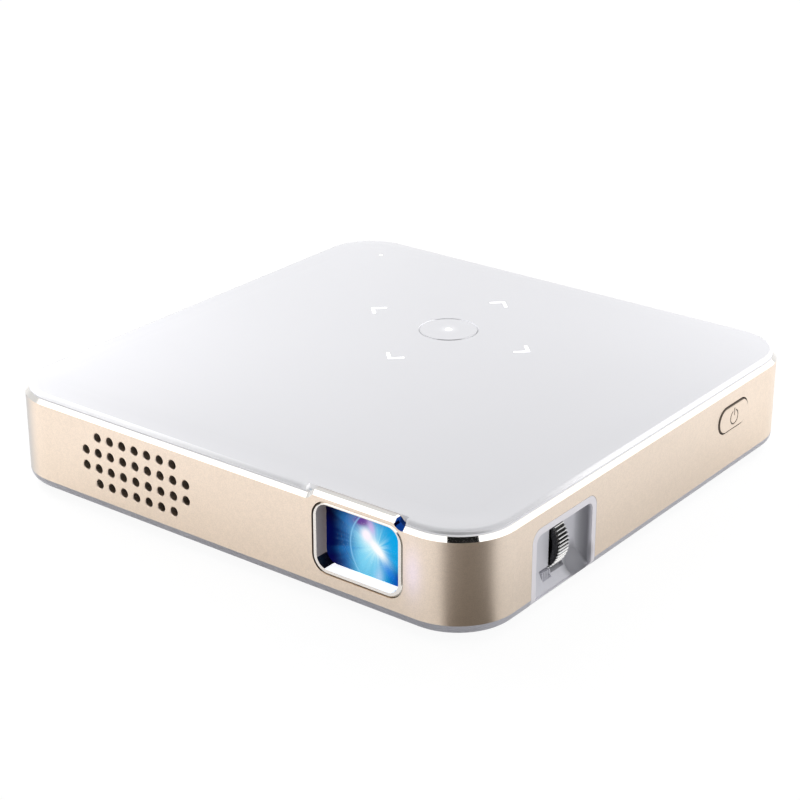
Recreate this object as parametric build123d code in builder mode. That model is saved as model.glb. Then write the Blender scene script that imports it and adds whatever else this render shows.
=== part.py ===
from build123d import *

import os
from math import acos, atan, atan2, cos, degrees, radians, sin, sqrt, tan

# Pocket projector. Millimetres, +X right, +Y back, +Z up, origin at the bottom centre of the feet.
# The lens looks out of the front (-Y). The focus wheel and the power button are on the right (+X).

os.makedirs("parts", exist_ok=True)

# ---------------------------------------------------------------- driving dimensions
# case
width = 100.0
depth = 100.0
body_height = 17.7
corner_radius = 10.5
foot_height = 1.3
sill_height = 1.8
sill_radius = 1.7
floor_thickness = 1.0
band_wall = 1.6
band_chamfer = 0.67
cover_rise = 1.3
cover_thickness = 1.2
cover_edge_radius = 0.6
crown_width = 5.0
crown_drop = 0.35
cover_inset = 0.85
gasket_thickness = 0.25
gasket_inset = 0.74
rim_thickness = 1.2
rim_height = 1.9
skirt_thickness = 1.0
skirt_height = 1.2
fit_gap = 0.1
insert_gap = 0.05
tolerance = 0.01

# window and the raised part of the band over it
lens_from_right = 21.7
lens_height = 11.25
window_width = 17.65
window_height = 12.5
window_corner = 3.0
window_frame = 0.9
window_frame_top = 0.5
glass_recess = 2.2
glass_thickness = 0.8
bezel_bevel = 0.3
bezel_flange_side = 0.7
bezel_flange_top = 0.1
bezel_flange_corner = 1.2
mask_thickness = 0.4
mask_gap = 0.3
raised_rise = 0.95
raised_run = 1.9
raised_left_from_right = 32.0
raised_right_from_right = 13.1

# speaker holes in the front
vent_rows = (7, 9, 9, 7)
vent_pitch = 2.82
vent_hole = 1.6
vent_from_left = 31.75
vent_height = 10.3
vent_bevel = 0.12

# focus recess and wheel
pocket_front_from_front = 15.3
pocket_length = 18.0
pocket_top = 14.6
pocket_corner = 2.2
pocket_rim = 1.15
pocket_depth = 2.3
pocket_wall = 1.0
pocket_inner_corner = 1.35
pocket_back_round = 1.3
pocket_flange = 0.9
pocket_flange_corner = 0.8
pocket_flange_thickness = 0.95
wheel_thickness = 3.0
wheel_reach = 1.8
wheel_height = 8.4
wheel_from_pocket_front = 9.8
rim_bevel = 0.2
slot_gap = 0.3
scoop_radius = 2.8
scoop_stands_out = 0.1
scoop_from_pocket_front = 13.9
scoop_height = 4.4

# focus gears
gear_module = 0.2
pressure_angle = 20.0
wheel_teeth = 52
idler_teeth = 30
ring_teeth = 52
tooth_rise = 0.9
tooth_drop = 1.25
gear_setback = 0.2
backlash = 0.06
mesh_play = 0.02
axle_radius = 0.8
pin_radius = 0.7
running_gap = 0.05

# lens
cell_radius = 5.2
cell_wall = 0.6
rear_tube_radius = 3.4
rear_tube_wall = 0.4
sleeve_wall = 0.55
lens_housing_wall = 0.8
cell_front_from_front = 5.5
cell_front_length = 13.5
focus_travel = 1.15
key_width = 1.4
key_rise = 0.4
key_sunk = 0.5
key_from_step = (5.0, 1.0)
cell_bore_wall = 2.2
cell_front_bore_depth = 3.5
cell_bevel = 0.2
middle_lens_wall = 1.4
middle_lens_seat = (5.0, 3.0)
housing_from_front = 4.0
shoulder_room = 0.9
shoulder_thickness = 1.0
# rim thickness, front bulge and back bulge of each lens
front_lens_form = (1.6, 1.1, -0.7)
middle_lens_form = (1.2, 0.6, 0.6)
rear_lens_form = (1.6, 0.5, 0.5)
relay_lens_form = (1.0, 0.7, 0.7)
collimator_form = (0.8, 0.2, 0.7)
lens_setback = 2.2

# power button
button_length = 10.0
button_height = 4.6
button_gap = 0.2
button_stands_out = 0.25
button_travel = 0.6
button_from_back = 23.0
button_z = 12.2
button_flange = 1.0

# touch field on the cover
touch_x = -2.9
touch_y_from_back = 34.0
touch_ring_radius = 5.5
touch_ring_width = 0.35
touch_ring_depth = 0.15
arrow_reach = 17.9
arrow_arm = 2.05
arrow_width = 0.55
centre_light_radius = 0.6
status_from_left = 12.4
status_from_back = 9.5
status_radius = 0.35

# fixings
post_inset = 8.5
post_radius = 2.8
post_joint_height = 8.0
screw_radius = 1.0
screw_head_radius = 1.8
screw_head_height = 1.3
screw_length = 11.0
screw_gap = 0.15
foot_radius = 4.2
foot_sunk = 0.3
foot_edge_radius = 0.3
bush_x = -4.5
bush_y = -12.0
bush_radius = 3.9
bush_bore = 2.55
bush_depth = 5.5
bush_height = 6.2
bush_flange = 0.6
bush_flange_height = 1.0

# boards
board_bottom = 8.0
board_thickness = 1.0
standoff_radius = 1.8
board_screw_radius = 0.8
board_screw_head_radius = 1.6
board_screw_head_height = 0.8
post_gap = 0.6
touch_board_thickness = 0.8

# light engine
engine_width = 35.0
engine_depth = 19.0
engine_from_front = 29.5
engine_from_right = 14.0
engine_top = 15.0
engine_wall = 1.2
engine_lid_thickness = 1.0
chamber_floor = 7.4

# blower and heat sink
fan_left_from_left = 9.5
fan_width = 28.5
fan_depth = 30.0
fan_back_from_back = 11.5
fan_bottom = 4.3
fan_height = 9.0
fan_wall = 1.2
exhaust_slot = (7.0, 1.3)
exhaust_pitch = 2.6
exhaust_count = 10
exhaust_lift = 0.8
intake_slot = (18.0, 1.5)
intake_pitch = 3.2
intake_count = 7
rotor_radius = 11.3
rotor_offset = 0.6
rotor_plate = 0.6
rotor_blades = 19
blade_thickness = 0.5
blade_turn = 28
blade_gap = 1.3
hub_radius = 5.2
inlet_radius = 9.0
pipe_radius = 1.5
pipe_z = 4.6

# battery
battery_width = 35.5
battery_depth = 38.0
battery_height = 4.8
battery_round = 1.2

# speaker
speaker_width = 26.0
speaker_height = 10.4
speaker_depth = 4.4

# ---------------------------------------------------------------- levels and faces worked out from them
left, right = -width / 2, width / 2
front, back = -depth / 2, depth / 2
floor_top = foot_height + floor_thickness
band_bottom = foot_height + sill_height
cover_top = foot_height + body_height
band_top = cover_top - cover_rise
raised_top = band_top + raised_rise
cover_bottom = cover_top - cover_thickness
rim_inset = band_wall + fit_gap
band_inside = right - band_wall
inner_inset = rim_inset + rim_thickness
board_top = board_bottom + board_thickness

lens_x = right - lens_from_right
window_z = lens_height
vent_x = left + vent_from_left
glass_left = lens_x - window_width / 2 + window_frame
glass_right = lens_x + window_width / 2 - window_frame
glass_low = window_z - window_height / 2 + window_frame
glass_high = window_z + window_height / 2 - window_frame_top
glass_front = front + glass_recess
glass_back = glass_front + glass_thickness

pocket_front = front + pocket_front_from_front
pocket_back = pocket_front + pocket_length
pocket_floor_x = right - pocket_depth
wheel_radius = gear_module * (wheel_teeth / 2 + tooth_rise)
wheel_x = pocket_floor_x + wheel_reach - wheel_radius
wheel_z = wheel_height
wheel_y = pocket_front + wheel_from_pocket_front
disc_front = wheel_y - wheel_thickness / 2
disc_back = wheel_y + wheel_thickness / 2
gear_front = disc_front + gear_setback
gear_back = disc_back - gear_setback

engine_front = front + engine_from_front
engine_back = engine_front + engine_depth
engine_right = right - engine_from_right
engine_left = engine_right - engine_width
engine_middle_y = (engine_front + engine_back) / 2

button_y = back - button_from_back
touch_y = back - touch_y_from_back
touch_board_bottom = cover_bottom - touch_board_thickness
status_x = left + status_from_left
status_y = back - status_from_back

fan_left = left + fan_left_from_left
fan_right = fan_left + fan_width
fan_back = back - fan_back_from_back
fan_front = fan_back - fan_depth
fan_x = (fan_left + fan_right) / 2 + rotor_offset
fan_y = (fan_front + fan_back) / 2
fan_top = fan_bottom + fan_height

post_points = [
    (side_x * (width / 2 - post_inset), side_y * (depth / 2 - post_inset))
    for side_x in (-1, 1)
    for side_y in (-1, 1)
]


# ---------------------------------------------------------------- helpers
def block(x, y, z, mode=Mode.ADD, round_off=0):
    """A box between two x, two y and two z values, its upright edges rounded off if asked."""
    with BuildSketch(Plane.XY.offset(z[0])) as plan:
        with Locations(((x[0] + x[1]) / 2, (y[0] + y[1]) / 2)):
            if round_off:
                RectangleRounded(x[1] - x[0], y[1] - y[0], round_off)
            else:
                Rectangle(x[1] - x[0], y[1] - y[0])
    extrude(plan.sketch, amount=z[1] - z[0], mode=mode)


def rod(centre, radius, length, direction=(0, 0, 1), mode=Mode.ADD):
    """A round bar that starts at centre and runs along direction."""
    with BuildSketch(Plane(origin=centre, z_dir=direction)) as disc:
        Circle(radius)
    extrude(disc.sketch, amount=length, mode=mode)


def plate_y(x, z, y, corner, mode=Mode.ADD):
    """A plate with rounded corners that faces along Y, between two y values."""
    with BuildSketch(Plane.XZ.offset(-y[0])) as face:
        with Locations(((x[0] + x[1]) / 2, (z[0] + z[1]) / 2)):
            RectangleRounded(x[1] - x[0], z[1] - z[0], corner)
    extrude(face.sketch, amount=y[0] - y[1], mode=mode)


def plate_x(y, z, x, corner, mode=Mode.ADD):
    """A plate with rounded corners that faces along X, between two x values."""
    with BuildSketch(Plane.YZ.offset(x[0])) as face:
        with Locations(((y[0] + y[1]) / 2, (z[0] + z[1]) / 2)):
            RectangleRounded(y[1] - y[0], z[1] - z[0], corner)
    extrude(face.sketch, amount=x[1] - x[0], mode=mode)


def case_slab(inset, z, mode=Mode.ADD):
    """A slab with the outline of the case, drawn in by inset."""
    with BuildSketch(Plane.XY.offset(z[0])) as outline:
        RectangleRounded(width - 2 * inset, depth - 2 * inset, corner_radius - inset)
    extrude(outline.sketch, amount=z[1] - z[0], mode=mode)


def lens_shape(centre, direction, radius, edge, front_bulge, back_bulge):
    """A round lens. A negative bulge is a hollow face."""
    cross = Vector(direction).cross(Vector(0, 0, 1))
    with BuildSketch(Plane(origin=centre, x_dir=direction, z_dir=cross)) as section:
        with BuildLine():
            first = TangentArc((-edge / 2 - front_bulge, 0), (-edge / 2, radius), tangent=(0, 1))
            rim = Line(first @ 1, (edge / 2, radius))
            second = TangentArc((edge / 2 + back_bulge, 0), rim @ 1, tangent=(0, 1))
            Line(second @ 0, first @ 0)
        make_face()
    revolve(section.sketch, axis=Axis(centre, direction))


def facing_front(centre, y):
    """The plane at y that faces the front, with its origin at the x and z of centre."""
    return Plane(origin=(centre[0], y, centre[1]), x_dir=(1, 0, 0), z_dir=(0, -1, 0))


def polar(radius, angle):
    return radius * cos(radians(angle)), radius * sin(radians(angle))


def involute(radius, base):
    """The involute's polar angle at a radius, in degrees."""
    pressure = acos(min(1.0, base / radius))
    return degrees(tan(pressure) - pressure)


def gear_shape(centre, y, teeth, phase):
    """A spur gear that faces along Y, with one tooth centred on the angle phase, seen from the front."""
    pitch_radius = gear_module * teeth / 2
    base = pitch_radius * cos(radians(pressure_angle))
    tip = pitch_radius + tooth_rise * gear_module
    root = pitch_radius - tooth_drop * gear_module
    half = 90 / teeth - degrees(backlash / 2 / pitch_radius)
    at_base = half + involute(pitch_radius, base)
    middle = (base + tip) / 2
    at_middle = at_base - involute(middle, base)
    at_tip = at_base - involute(tip, base)
    with BuildSketch(facing_front(centre, y[0])) as outline:
        with BuildLine():
            for tooth in range(teeth):
                along = phase + tooth * 360 / teeth
                nearer = along - 180 / teeth
                further = along + 180 / teeth
                rises = along - at_base
                falls = along + at_base
                tip_start = along - at_tip
                tip_end = along + at_tip
                ThreePointArc(polar(root, nearer), polar(root, (nearer + rises) / 2), polar(root, rises))
                Line(polar(root, rises), polar(base, rises))
                ThreePointArc(polar(base, rises), polar(middle, along - at_middle), polar(tip, tip_start))
                ThreePointArc(polar(tip, tip_start), polar(tip, along), polar(tip, tip_end))
                ThreePointArc(polar(tip, tip_end), polar(middle, along + at_middle), polar(base, falls))
                Line(polar(base, falls), polar(root, falls))
                ThreePointArc(polar(root, falls), polar(root, (further + falls) / 2), polar(root, further))
        make_face()
    extrude(outline.sketch, amount=y[0] - y[1])


def tube_along(points, radius, bend):
    """A round tube or wire along straight runs joined by arcs."""
    with BuildLine() as path:
        FilletPolyline(*points, radius=bend)
    with BuildSketch(Plane(origin=path.line @ 0, z_dir=path.line % 0)) as section:
        Circle(radius)
    sweep(section.sketch, path=path.line)


def on_case_outline(point):
    """True where a point is on the outer wall of the case."""
    away_x = abs(point.X) - (width / 2 - corner_radius)
    away_y = abs(point.Y) - (depth / 2 - corner_radius)
    reach = sqrt(max(away_x, 0) ** 2 + max(away_y, 0) ** 2)
    return abs(reach - corner_radius) < tolerance


def vent_points():
    """Centres of the speaker holes, as x and z."""
    points = []
    for row, count in enumerate(vent_rows):
        z = vent_height + ((len(vent_rows) - 1) / 2 - row) * vent_pitch
        points += [(vent_x + (k - (count - 1) / 2) * vent_pitch, z) for k in range(count)]
    return points


# ---------------------------------------------------------------- rear sockets
# half width and height of each socket's body
hdmi_body = (7.5, 6.0)
usb_body = (6.6, 5.9)
dc_body = (3.6, 6.2)
audio_body = (3.1, 6.0)
panel_corner = 1.5
panel_height = 7.8
panel_from_right = 11.5
panel_length = 50.0
panel_flange = 0.6
audio_from_panel_left = 4.6
audio_to_dc = 7.8
dc_to_hdmi = 12.6
hdmi_to_usb = 15.8
socket_axis_height = 3.1
socket_depth = 12.0
socket_setback = 0.9
panel_low, panel_high = board_bottom, board_bottom + panel_height
panel_right = right - panel_from_right
panel_left = panel_right - panel_length
audio_x = panel_left + audio_from_panel_left
dc_x = audio_x + audio_to_dc
hdmi_x = dc_x + dc_to_hdmi
usb_x = hdmi_x + hdmi_to_usb
socket_z = board_top + socket_axis_height
audio_bore = 1.8
audio_collar = 2.8
dc_bore = 2.75
dc_pin = 1.0
socket_front = back - band_wall - socket_depth
socket_face = back - socket_setback
audio_shoulder = back - band_wall - 1.0

# ---------------------------------------------------------------- side band
raised_left = right - raised_left_from_right
raised_right = right - raised_right_from_right
step_angle = 2 * degrees(atan(raised_rise / raised_run))
step_radius = raised_run / 2 / sin(radians(step_angle))


def step_cutter(side, foot):
    """Cuts the band's top down to its low level on one side of the raised part."""
    with BuildSketch(Plane.XZ.offset(depth / 2 + 1)) as low_part:
        with BuildLine():
            rising = JernArc((foot, band_top), (-side, 0), step_radius, -side * step_angle)
            level = JernArc(rising @ 1, rising % 1, step_radius, side * step_angle)
            Polyline(
                level @ 1,
                ((level @ 1).X, raised_top + 1),
                (side * (width / 2 + 1), raised_top + 1),
                (side * (width / 2 + 1), band_top),
                (foot, band_top),
            )
        make_face()
    extrude(low_part.sketch, amount=-band_wall - 1, mode=Mode.SUBTRACT)


with BuildPart() as side_band:
    case_slab(0, (band_bottom, raised_top))
    case_slab(band_wall, (band_bottom, raised_top), mode=Mode.SUBTRACT)
    block(
        (left - 1, right + 1),
        (front + band_wall, back + 1),
        (band_top, raised_top + 1),
        mode=Mode.SUBTRACT,
    )
    step_cutter(-1, raised_left)
    step_cutter(1, raised_right)
    high_edges = [e for e in side_band.edges() if e.center().Z > band_top - tolerance]
    chamfer([e for e in high_edges if on_case_outline(e @ 0.5)], band_chamfer)
    # window, speaker holes and rear panel
    plate_y(
        (lens_x - window_width / 2, lens_x + window_width / 2),
        (window_z - window_height / 2, window_z + window_height / 2),
        (front - 1, front + band_wall + 1),
        window_corner,
        mode=Mode.SUBTRACT,
    )
    with BuildSketch(Plane.XZ.offset(depth / 2 + 1)):
        with Locations(*vent_points()):
            Circle(vent_hole / 2)
    extrude(amount=-band_wall - 2, mode=Mode.SUBTRACT)
    front_circles = side_band.edges().filter_by(GeomType.CIRCLE).group_by(Axis.Y)[0]
    chamfer([e for e in front_circles if abs(e.radius - vent_hole / 2) < tolerance], vent_bevel)
    plate_y(
        (panel_left, panel_right),
        (panel_low, panel_high),
        (back - band_wall - 1, back + 1),
        panel_corner,
        mode=Mode.SUBTRACT,
    )
    # focus recess, open at the bottom, and button slot
    plate_x(
        (pocket_front, pocket_back),
        (band_bottom - 2 * pocket_corner, pocket_top),
        (right - band_wall - 1, right + 1),
        pocket_corner,
        mode=Mode.SUBTRACT,
    )
    with BuildSketch(Plane.YZ.offset(right - band_wall - 1)):
        with Locations((button_y, button_z)):
            SlotOverall(button_length + 2 * button_gap, button_height + 2 * button_gap)
    extrude(amount=band_wall + 2, mode=Mode.SUBTRACT)
    # exhaust slots in the left wall
    with BuildSketch(Plane.YZ.offset(left - 1)):
        with Locations((fan_y, (fan_bottom + fan_top) / 2 + exhaust_lift)):
            with GridLocations(exhaust_pitch, 0, exhaust_count, 1):
                SlotOverall(*exhaust_slot, rotation=90)
    extrude(amount=band_wall + 2, mode=Mode.SUBTRACT)
side_band.part.label = "side_band"
export_step(side_band.part, "parts/side_band.step")

# ---------------------------------------------------------------- gasket and cover
notch_gap = 0.15
notch_x = (raised_left - notch_gap, raised_right + notch_gap)
notch_y = (front - 1, front + band_wall + notch_gap)

with BuildPart() as cover_gasket:
    case_slab(gasket_inset, (band_top, band_top + gasket_thickness))
    case_slab(band_wall, (band_top, band_top + gasket_thickness), mode=Mode.SUBTRACT)
    block(notch_x, notch_y, (band_top - 1, cover_top), mode=Mode.SUBTRACT)
cover_gasket.part.label = "cover_gasket"
export_step(cover_gasket.part, "parts/cover_gasket.step")


def touch_icon_solids(mode):
    """The lit parts of the touch field, through the full thickness of the cover."""
    slant = arrow_width / sqrt(2)
    with BuildSketch(Plane.XY.offset(cover_bottom)) as lit:
        with Locations((touch_x, touch_y)):
            Circle(centre_light_radius)
        for turn in range(4):
            heading = Location((touch_x, touch_y, 0), (0, 0, 90 * turn))
            with Locations(heading):
                Polygon(
                    (arrow_reach, 0),
                    (arrow_reach - arrow_arm, arrow_arm),
                    (arrow_reach - arrow_arm - slant, arrow_arm - slant),
                    (arrow_reach - 2 * slant, 0),
                    (arrow_reach - arrow_arm - slant, slant - arrow_arm),
                    (arrow_reach - arrow_arm, -arrow_arm),
                    align=None,
                )
    extrude(lit.sketch, amount=cover_thickness, mode=mode)


with BuildSketch(Plane.XY.offset(cover_top)) as cover_outline:
    RectangleRounded(width - 2 * cover_inset, depth - 2 * cover_inset, corner_radius - cover_inset)
cover_rim = cover_outline.sketch.faces()[0].outer_wire()
rim_start = cover_rim @ 0
rim_ahead = cover_rim % 0
rim_plane = Plane(origin=rim_start, x_dir=rim_ahead.cross(Vector(0, 0, 1)), z_dir=-rim_ahead)

with BuildPart() as top_cover:
    case_slab(cover_inset, (band_top + gasket_thickness, cover_top))
    # the top falls away gently towards the rim
    with BuildSketch(rim_plane) as fall:
        with BuildLine():
            TangentArc((-crown_width, 0), (0, -crown_drop), tangent=(1, 0))
            Polyline((0, -crown_drop), (1, -crown_drop), (1, 1), (-crown_width, 1), (-crown_width, 0))
        make_face()
    sweep(fall.sketch, path=cover_rim, mode=Mode.SUBTRACT)
    crown_foot = cover_top - crown_drop
    fillet([e for e in top_cover.edges() if abs(e.center().Z - crown_foot) < tolerance], cover_edge_radius)
    case_slab(rim_inset, (cover_bottom, band_top + gasket_thickness + fit_gap))
    case_slab(rim_inset, (cover_bottom - skirt_height, cover_bottom))
    case_slab(rim_inset + skirt_thickness, (cover_bottom - skirt_height, cover_bottom), mode=Mode.SUBTRACT)
    for x, y in post_points:
        rod((x, y, post_joint_height), post_radius, cover_bottom - post_joint_height)
    # notch round the raised part of the band, and a gap in the skirt behind the window
    block(notch_x, notch_y, (cover_bottom - skirt_height - 1, cover_top + 1), mode=Mode.SUBTRACT)
    block(
        (lens_x - window_width / 2 - 2, lens_x + window_width / 2 + 2),
        (front, front + inner_inset + 2),
        (cover_bottom - skirt_height - 1, cover_bottom),
        mode=Mode.SUBTRACT,
    )
    for x, y in post_points:
        rod((x, y, post_joint_height - 1), screw_radius, screw_length - 1, mode=Mode.SUBTRACT)
    # touch ring, lit icons and status light
    with BuildSketch(Plane.XY.offset(cover_top)):
        with Locations((touch_x, touch_y)):
            Circle(touch_ring_radius)
            Circle(touch_ring_radius - touch_ring_width, mode=Mode.SUBTRACT)
    extrude(amount=-touch_ring_depth, mode=Mode.SUBTRACT)
    touch_icon_solids(Mode.SUBTRACT)
    rod((status_x, status_y, cover_bottom - 1), status_radius, cover_thickness + 2, mode=Mode.SUBTRACT)
top_cover.part.label = "top_cover"
export_step(top_cover.part, "parts/top_cover.step")

with BuildPart() as touch_icons:
    touch_icon_solids(Mode.ADD)
touch_icons.part.label = "touch_icons"
export_step(touch_icons.part, "parts/touch_icons.step")

with BuildPart() as status_light_pipe:
    rod((status_x, status_y, cover_bottom), status_radius, cover_thickness)
status_light_pipe.part.label = "status_light_pipe"
export_step(status_light_pipe.part, "parts/status_light_pipe.step")

# ---------------------------------------------------------------- bottom shell
battery_left = left + 5.0
battery_right = battery_left + battery_width
battery_back = fan_front - 4.7
battery_front = battery_back - battery_depth
board_front = battery_front - 4.5
board_split = fan_right + 1.5
board_right = right - 8.5
standoff_points = [
    (battery_left + 10.0, battery_front - 2.6),
    (battery_right - 2.5, battery_front - 2.6),
    (board_split + 2.2, fan_front + 3.5),
    (board_split + 2.2, fan_back - 7.5),
    (board_right - 3.5, fan_front + 3.5),
    (board_right - 3.5, fan_back - 4.5),
]
foot_recess_top = foot_height + foot_sunk
screw_seat = foot_recess_top + screw_head_height + 0.1
pocket_cut_gap = 1.5

with BuildPart() as bottom_shell:
    case_slab(0, (foot_height, band_bottom))
    fillet(bottom_shell.edges().group_by(Axis.Z)[0], sill_radius)
    case_slab(rim_inset, (band_bottom, band_bottom + rim_height))
    case_slab(inner_inset, (floor_top, band_bottom + rim_height), mode=Mode.SUBTRACT)
    for x, y in post_points:
        rod((x, y, floor_top), post_radius, post_joint_height - floor_top)
    for x, y in standoff_points:
        rod((x, y, floor_top), standoff_radius, board_bottom - floor_top)
        rod((x, y, floor_top + 1), board_screw_radius, board_bottom - floor_top, mode=Mode.SUBTRACT)
    # under each foot there is a recess, with the screw's head seat above it
    for x, y in post_points:
        rod((x, y, 0), foot_radius + fit_gap, foot_recess_top, mode=Mode.SUBTRACT)
        rod((x, y, 0), screw_head_radius + screw_gap, screw_seat, mode=Mode.SUBTRACT)
        rod((x, y, 0), screw_radius + screw_gap, post_joint_height + 1, mode=Mode.SUBTRACT)
    rod((bush_x, bush_y, 0), bush_radius, band_bottom, mode=Mode.SUBTRACT)
    # air inlet under the blower
    with BuildSketch(Plane.XY.offset(foot_height - 1)):
        with Locations((fan_x, fan_y)):
            with GridLocations(intake_pitch, 0, intake_count, 1):
                SlotOverall(*intake_slot, rotation=90)
    extrude(amount=floor_thickness + 2, mode=Mode.SUBTRACT)
    # room for the focus recess, in the sill and in the rim
    block(
        (pocket_floor_x - pocket_wall - insert_gap, right + 1),
        (pocket_front, pocket_back),
        (0, band_bottom + 1),
        mode=Mode.SUBTRACT,
    )
    block(
        (right - inner_inset - 1, right),
        (pocket_front - pocket_cut_gap, pocket_back + pocket_cut_gap),
        (band_bottom, band_bottom + rim_height + 1),
        mode=Mode.SUBTRACT,
    )
    # and for the window's frame
    block(
        (lens_x - window_width / 2 - 1.5, lens_x + window_width / 2 + 1.5),
        (front, front + inner_inset + 1),
        (band_bottom, band_bottom + rim_height + 1),
        mode=Mode.SUBTRACT,
    )
bottom_shell.part.label = "bottom_shell"
export_step(bottom_shell.part, "parts/bottom_shell.step")

with BuildPart() as rubber_feet:
    for x, y in post_points:
        rod((x, y, 0), foot_radius, foot_recess_top)
    fillet(rubber_feet.edges().group_by(Axis.Z)[0], foot_edge_radius)
rubber_feet.part.label = "rubber_feet"
export_step(rubber_feet.part, "parts/rubber_feet.step")

cross_half = 1.2
cross_width = 0.4
cross_depth = 0.5

with BuildPart() as case_screws:
    for x, y in post_points:
        rod((x, y, screw_seat - screw_head_height), screw_head_radius, screw_head_height)
        rod((x, y, screw_seat), screw_radius, screw_length - 1)
        for half_x, half_y in ((cross_half, cross_width / 2), (cross_width / 2, cross_half)):
            block(
                (x - half_x, x + half_x),
                (y - half_y, y + half_y),
                (0, screw_seat - screw_head_height + cross_depth),
                mode=Mode.SUBTRACT,
            )
case_screws.part.label = "case_screws"
export_step(case_screws.part, "parts/case_screws.step")

with BuildPart() as tripod_bush:
    rod((bush_x, bush_y, foot_height), bush_radius, bush_height)
    rod((bush_x, bush_y, floor_top), bush_radius + bush_flange, bush_flange_height)
    rod((bush_x, bush_y, foot_height), bush_bore, bush_depth, mode=Mode.SUBTRACT)
tripod_bush.part.label = "tripod_bush"
export_step(tripod_bush.part, "parts/tripod_bush.step")

# ---------------------------------------------------------------- window
frame_left = lens_x - window_width / 2 + insert_gap
frame_right = lens_x + window_width / 2 - insert_gap
frame_low = window_z - window_height / 2 + insert_gap
frame_high = window_z + window_height / 2 - insert_gap
glass_lap = 0.35
glass_corner = window_corner - window_frame

with BuildPart() as lens_bezel:
    plate_y(
        (frame_left, frame_right),
        (frame_low, frame_high),
        (front, glass_back),
        window_corner,
    )
    chamfer(lens_bezel.edges().group_by(Axis.Y)[0], bezel_bevel)
    plate_y(
        (frame_left - bezel_flange_side, frame_right + bezel_flange_side),
        (frame_low - bezel_flange_side, frame_high + bezel_flange_top),
        (front + band_wall + insert_gap, glass_back),
        bezel_flange_corner,
    )
    plate_y(
        (glass_left, glass_right),
        (glass_low, glass_high),
        (front - 1, glass_back + 1),
        glass_corner,
        mode=Mode.SUBTRACT,
    )
    plate_y(
        (glass_left - glass_lap, glass_right + glass_lap),
        (glass_low - glass_lap, glass_high + glass_lap),
        (glass_front, glass_back + 1),
        glass_corner,
        mode=Mode.SUBTRACT,
    )
lens_bezel.part.label = "lens_bezel"
export_step(lens_bezel.part, "parts/lens_bezel.step")

with BuildPart() as window_glass:
    plate_y(
        (glass_left - glass_lap + insert_gap, glass_right + glass_lap - insert_gap),
        (glass_low - glass_lap + insert_gap, glass_high + glass_lap - insert_gap),
        (glass_front, glass_back),
        glass_corner,
    )
window_glass.part.label = "window_glass"
export_step(window_glass.part, "parts/window_glass.step")

with BuildPart() as window_mask:
    mask_back = glass_back + mask_thickness
    plate_y((frame_left, frame_right), (frame_low, frame_high), (glass_back, mask_back), window_corner)
    before_mask = (lens_x, glass_back - 1, lens_height)
    rod(before_mask, cell_radius + mask_gap, mask_thickness + 2, (0, 1, 0), Mode.SUBTRACT)
window_mask.part.label = "window_mask"
export_step(window_mask.part, "parts/window_mask.step")

# ---------------------------------------------------------------- focus recess
insert_front = pocket_front + insert_gap
insert_back = pocket_back - insert_gap
insert_top = pocket_top - insert_gap
insert_bottom = foot_height + insert_gap
ramp_top = 5.2
ramp_foot = foot_height + 1.1
ramp_out = 0.5
slot_half = sqrt(wheel_radius**2 - (pocket_floor_x - pocket_wall / 2 - wheel_x) ** 2) + slot_gap / 2
detent_y = (pocket_front + 5.4, pocket_front + 7.8)
detent_z = (3.4, 5.0)
detent_depth = 0.4
detent_step = (0.9, 0.7)
floor_cut = pocket_floor_x + 2.5
slot_room = 0.3
rib_pitch = 0.5
rib_width = 0.22
rib_height = 1.3

with BuildPart() as recess:
    plate_x(
        (insert_front + pocket_rim, insert_back - pocket_rim),
        (insert_bottom, insert_top - pocket_rim),
        (pocket_floor_x, right + 1),
        pocket_inner_corner,
    )
    with BuildSketch(Plane.XZ.offset(-pocket_back)):
        with BuildLine():
            curve = TangentArc(
                (pocket_floor_x, ramp_top),
                (right - ramp_out, ramp_foot),
                tangent=(0.25, -1),
            )
            Polyline(
                curve @ 1,
                (right + 1, ramp_foot),
                (right + 1, pocket_top),
                (pocket_floor_x, pocket_top),
                curve @ 0,
            )
        make_face()
    extrude(amount=pocket_length, mode=Mode.INTERSECT)
    back_edges = recess.edges().filter_by(Axis.Z).group_by(Axis.X)[0]
    fillet(back_edges, pocket_back_round)

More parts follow.
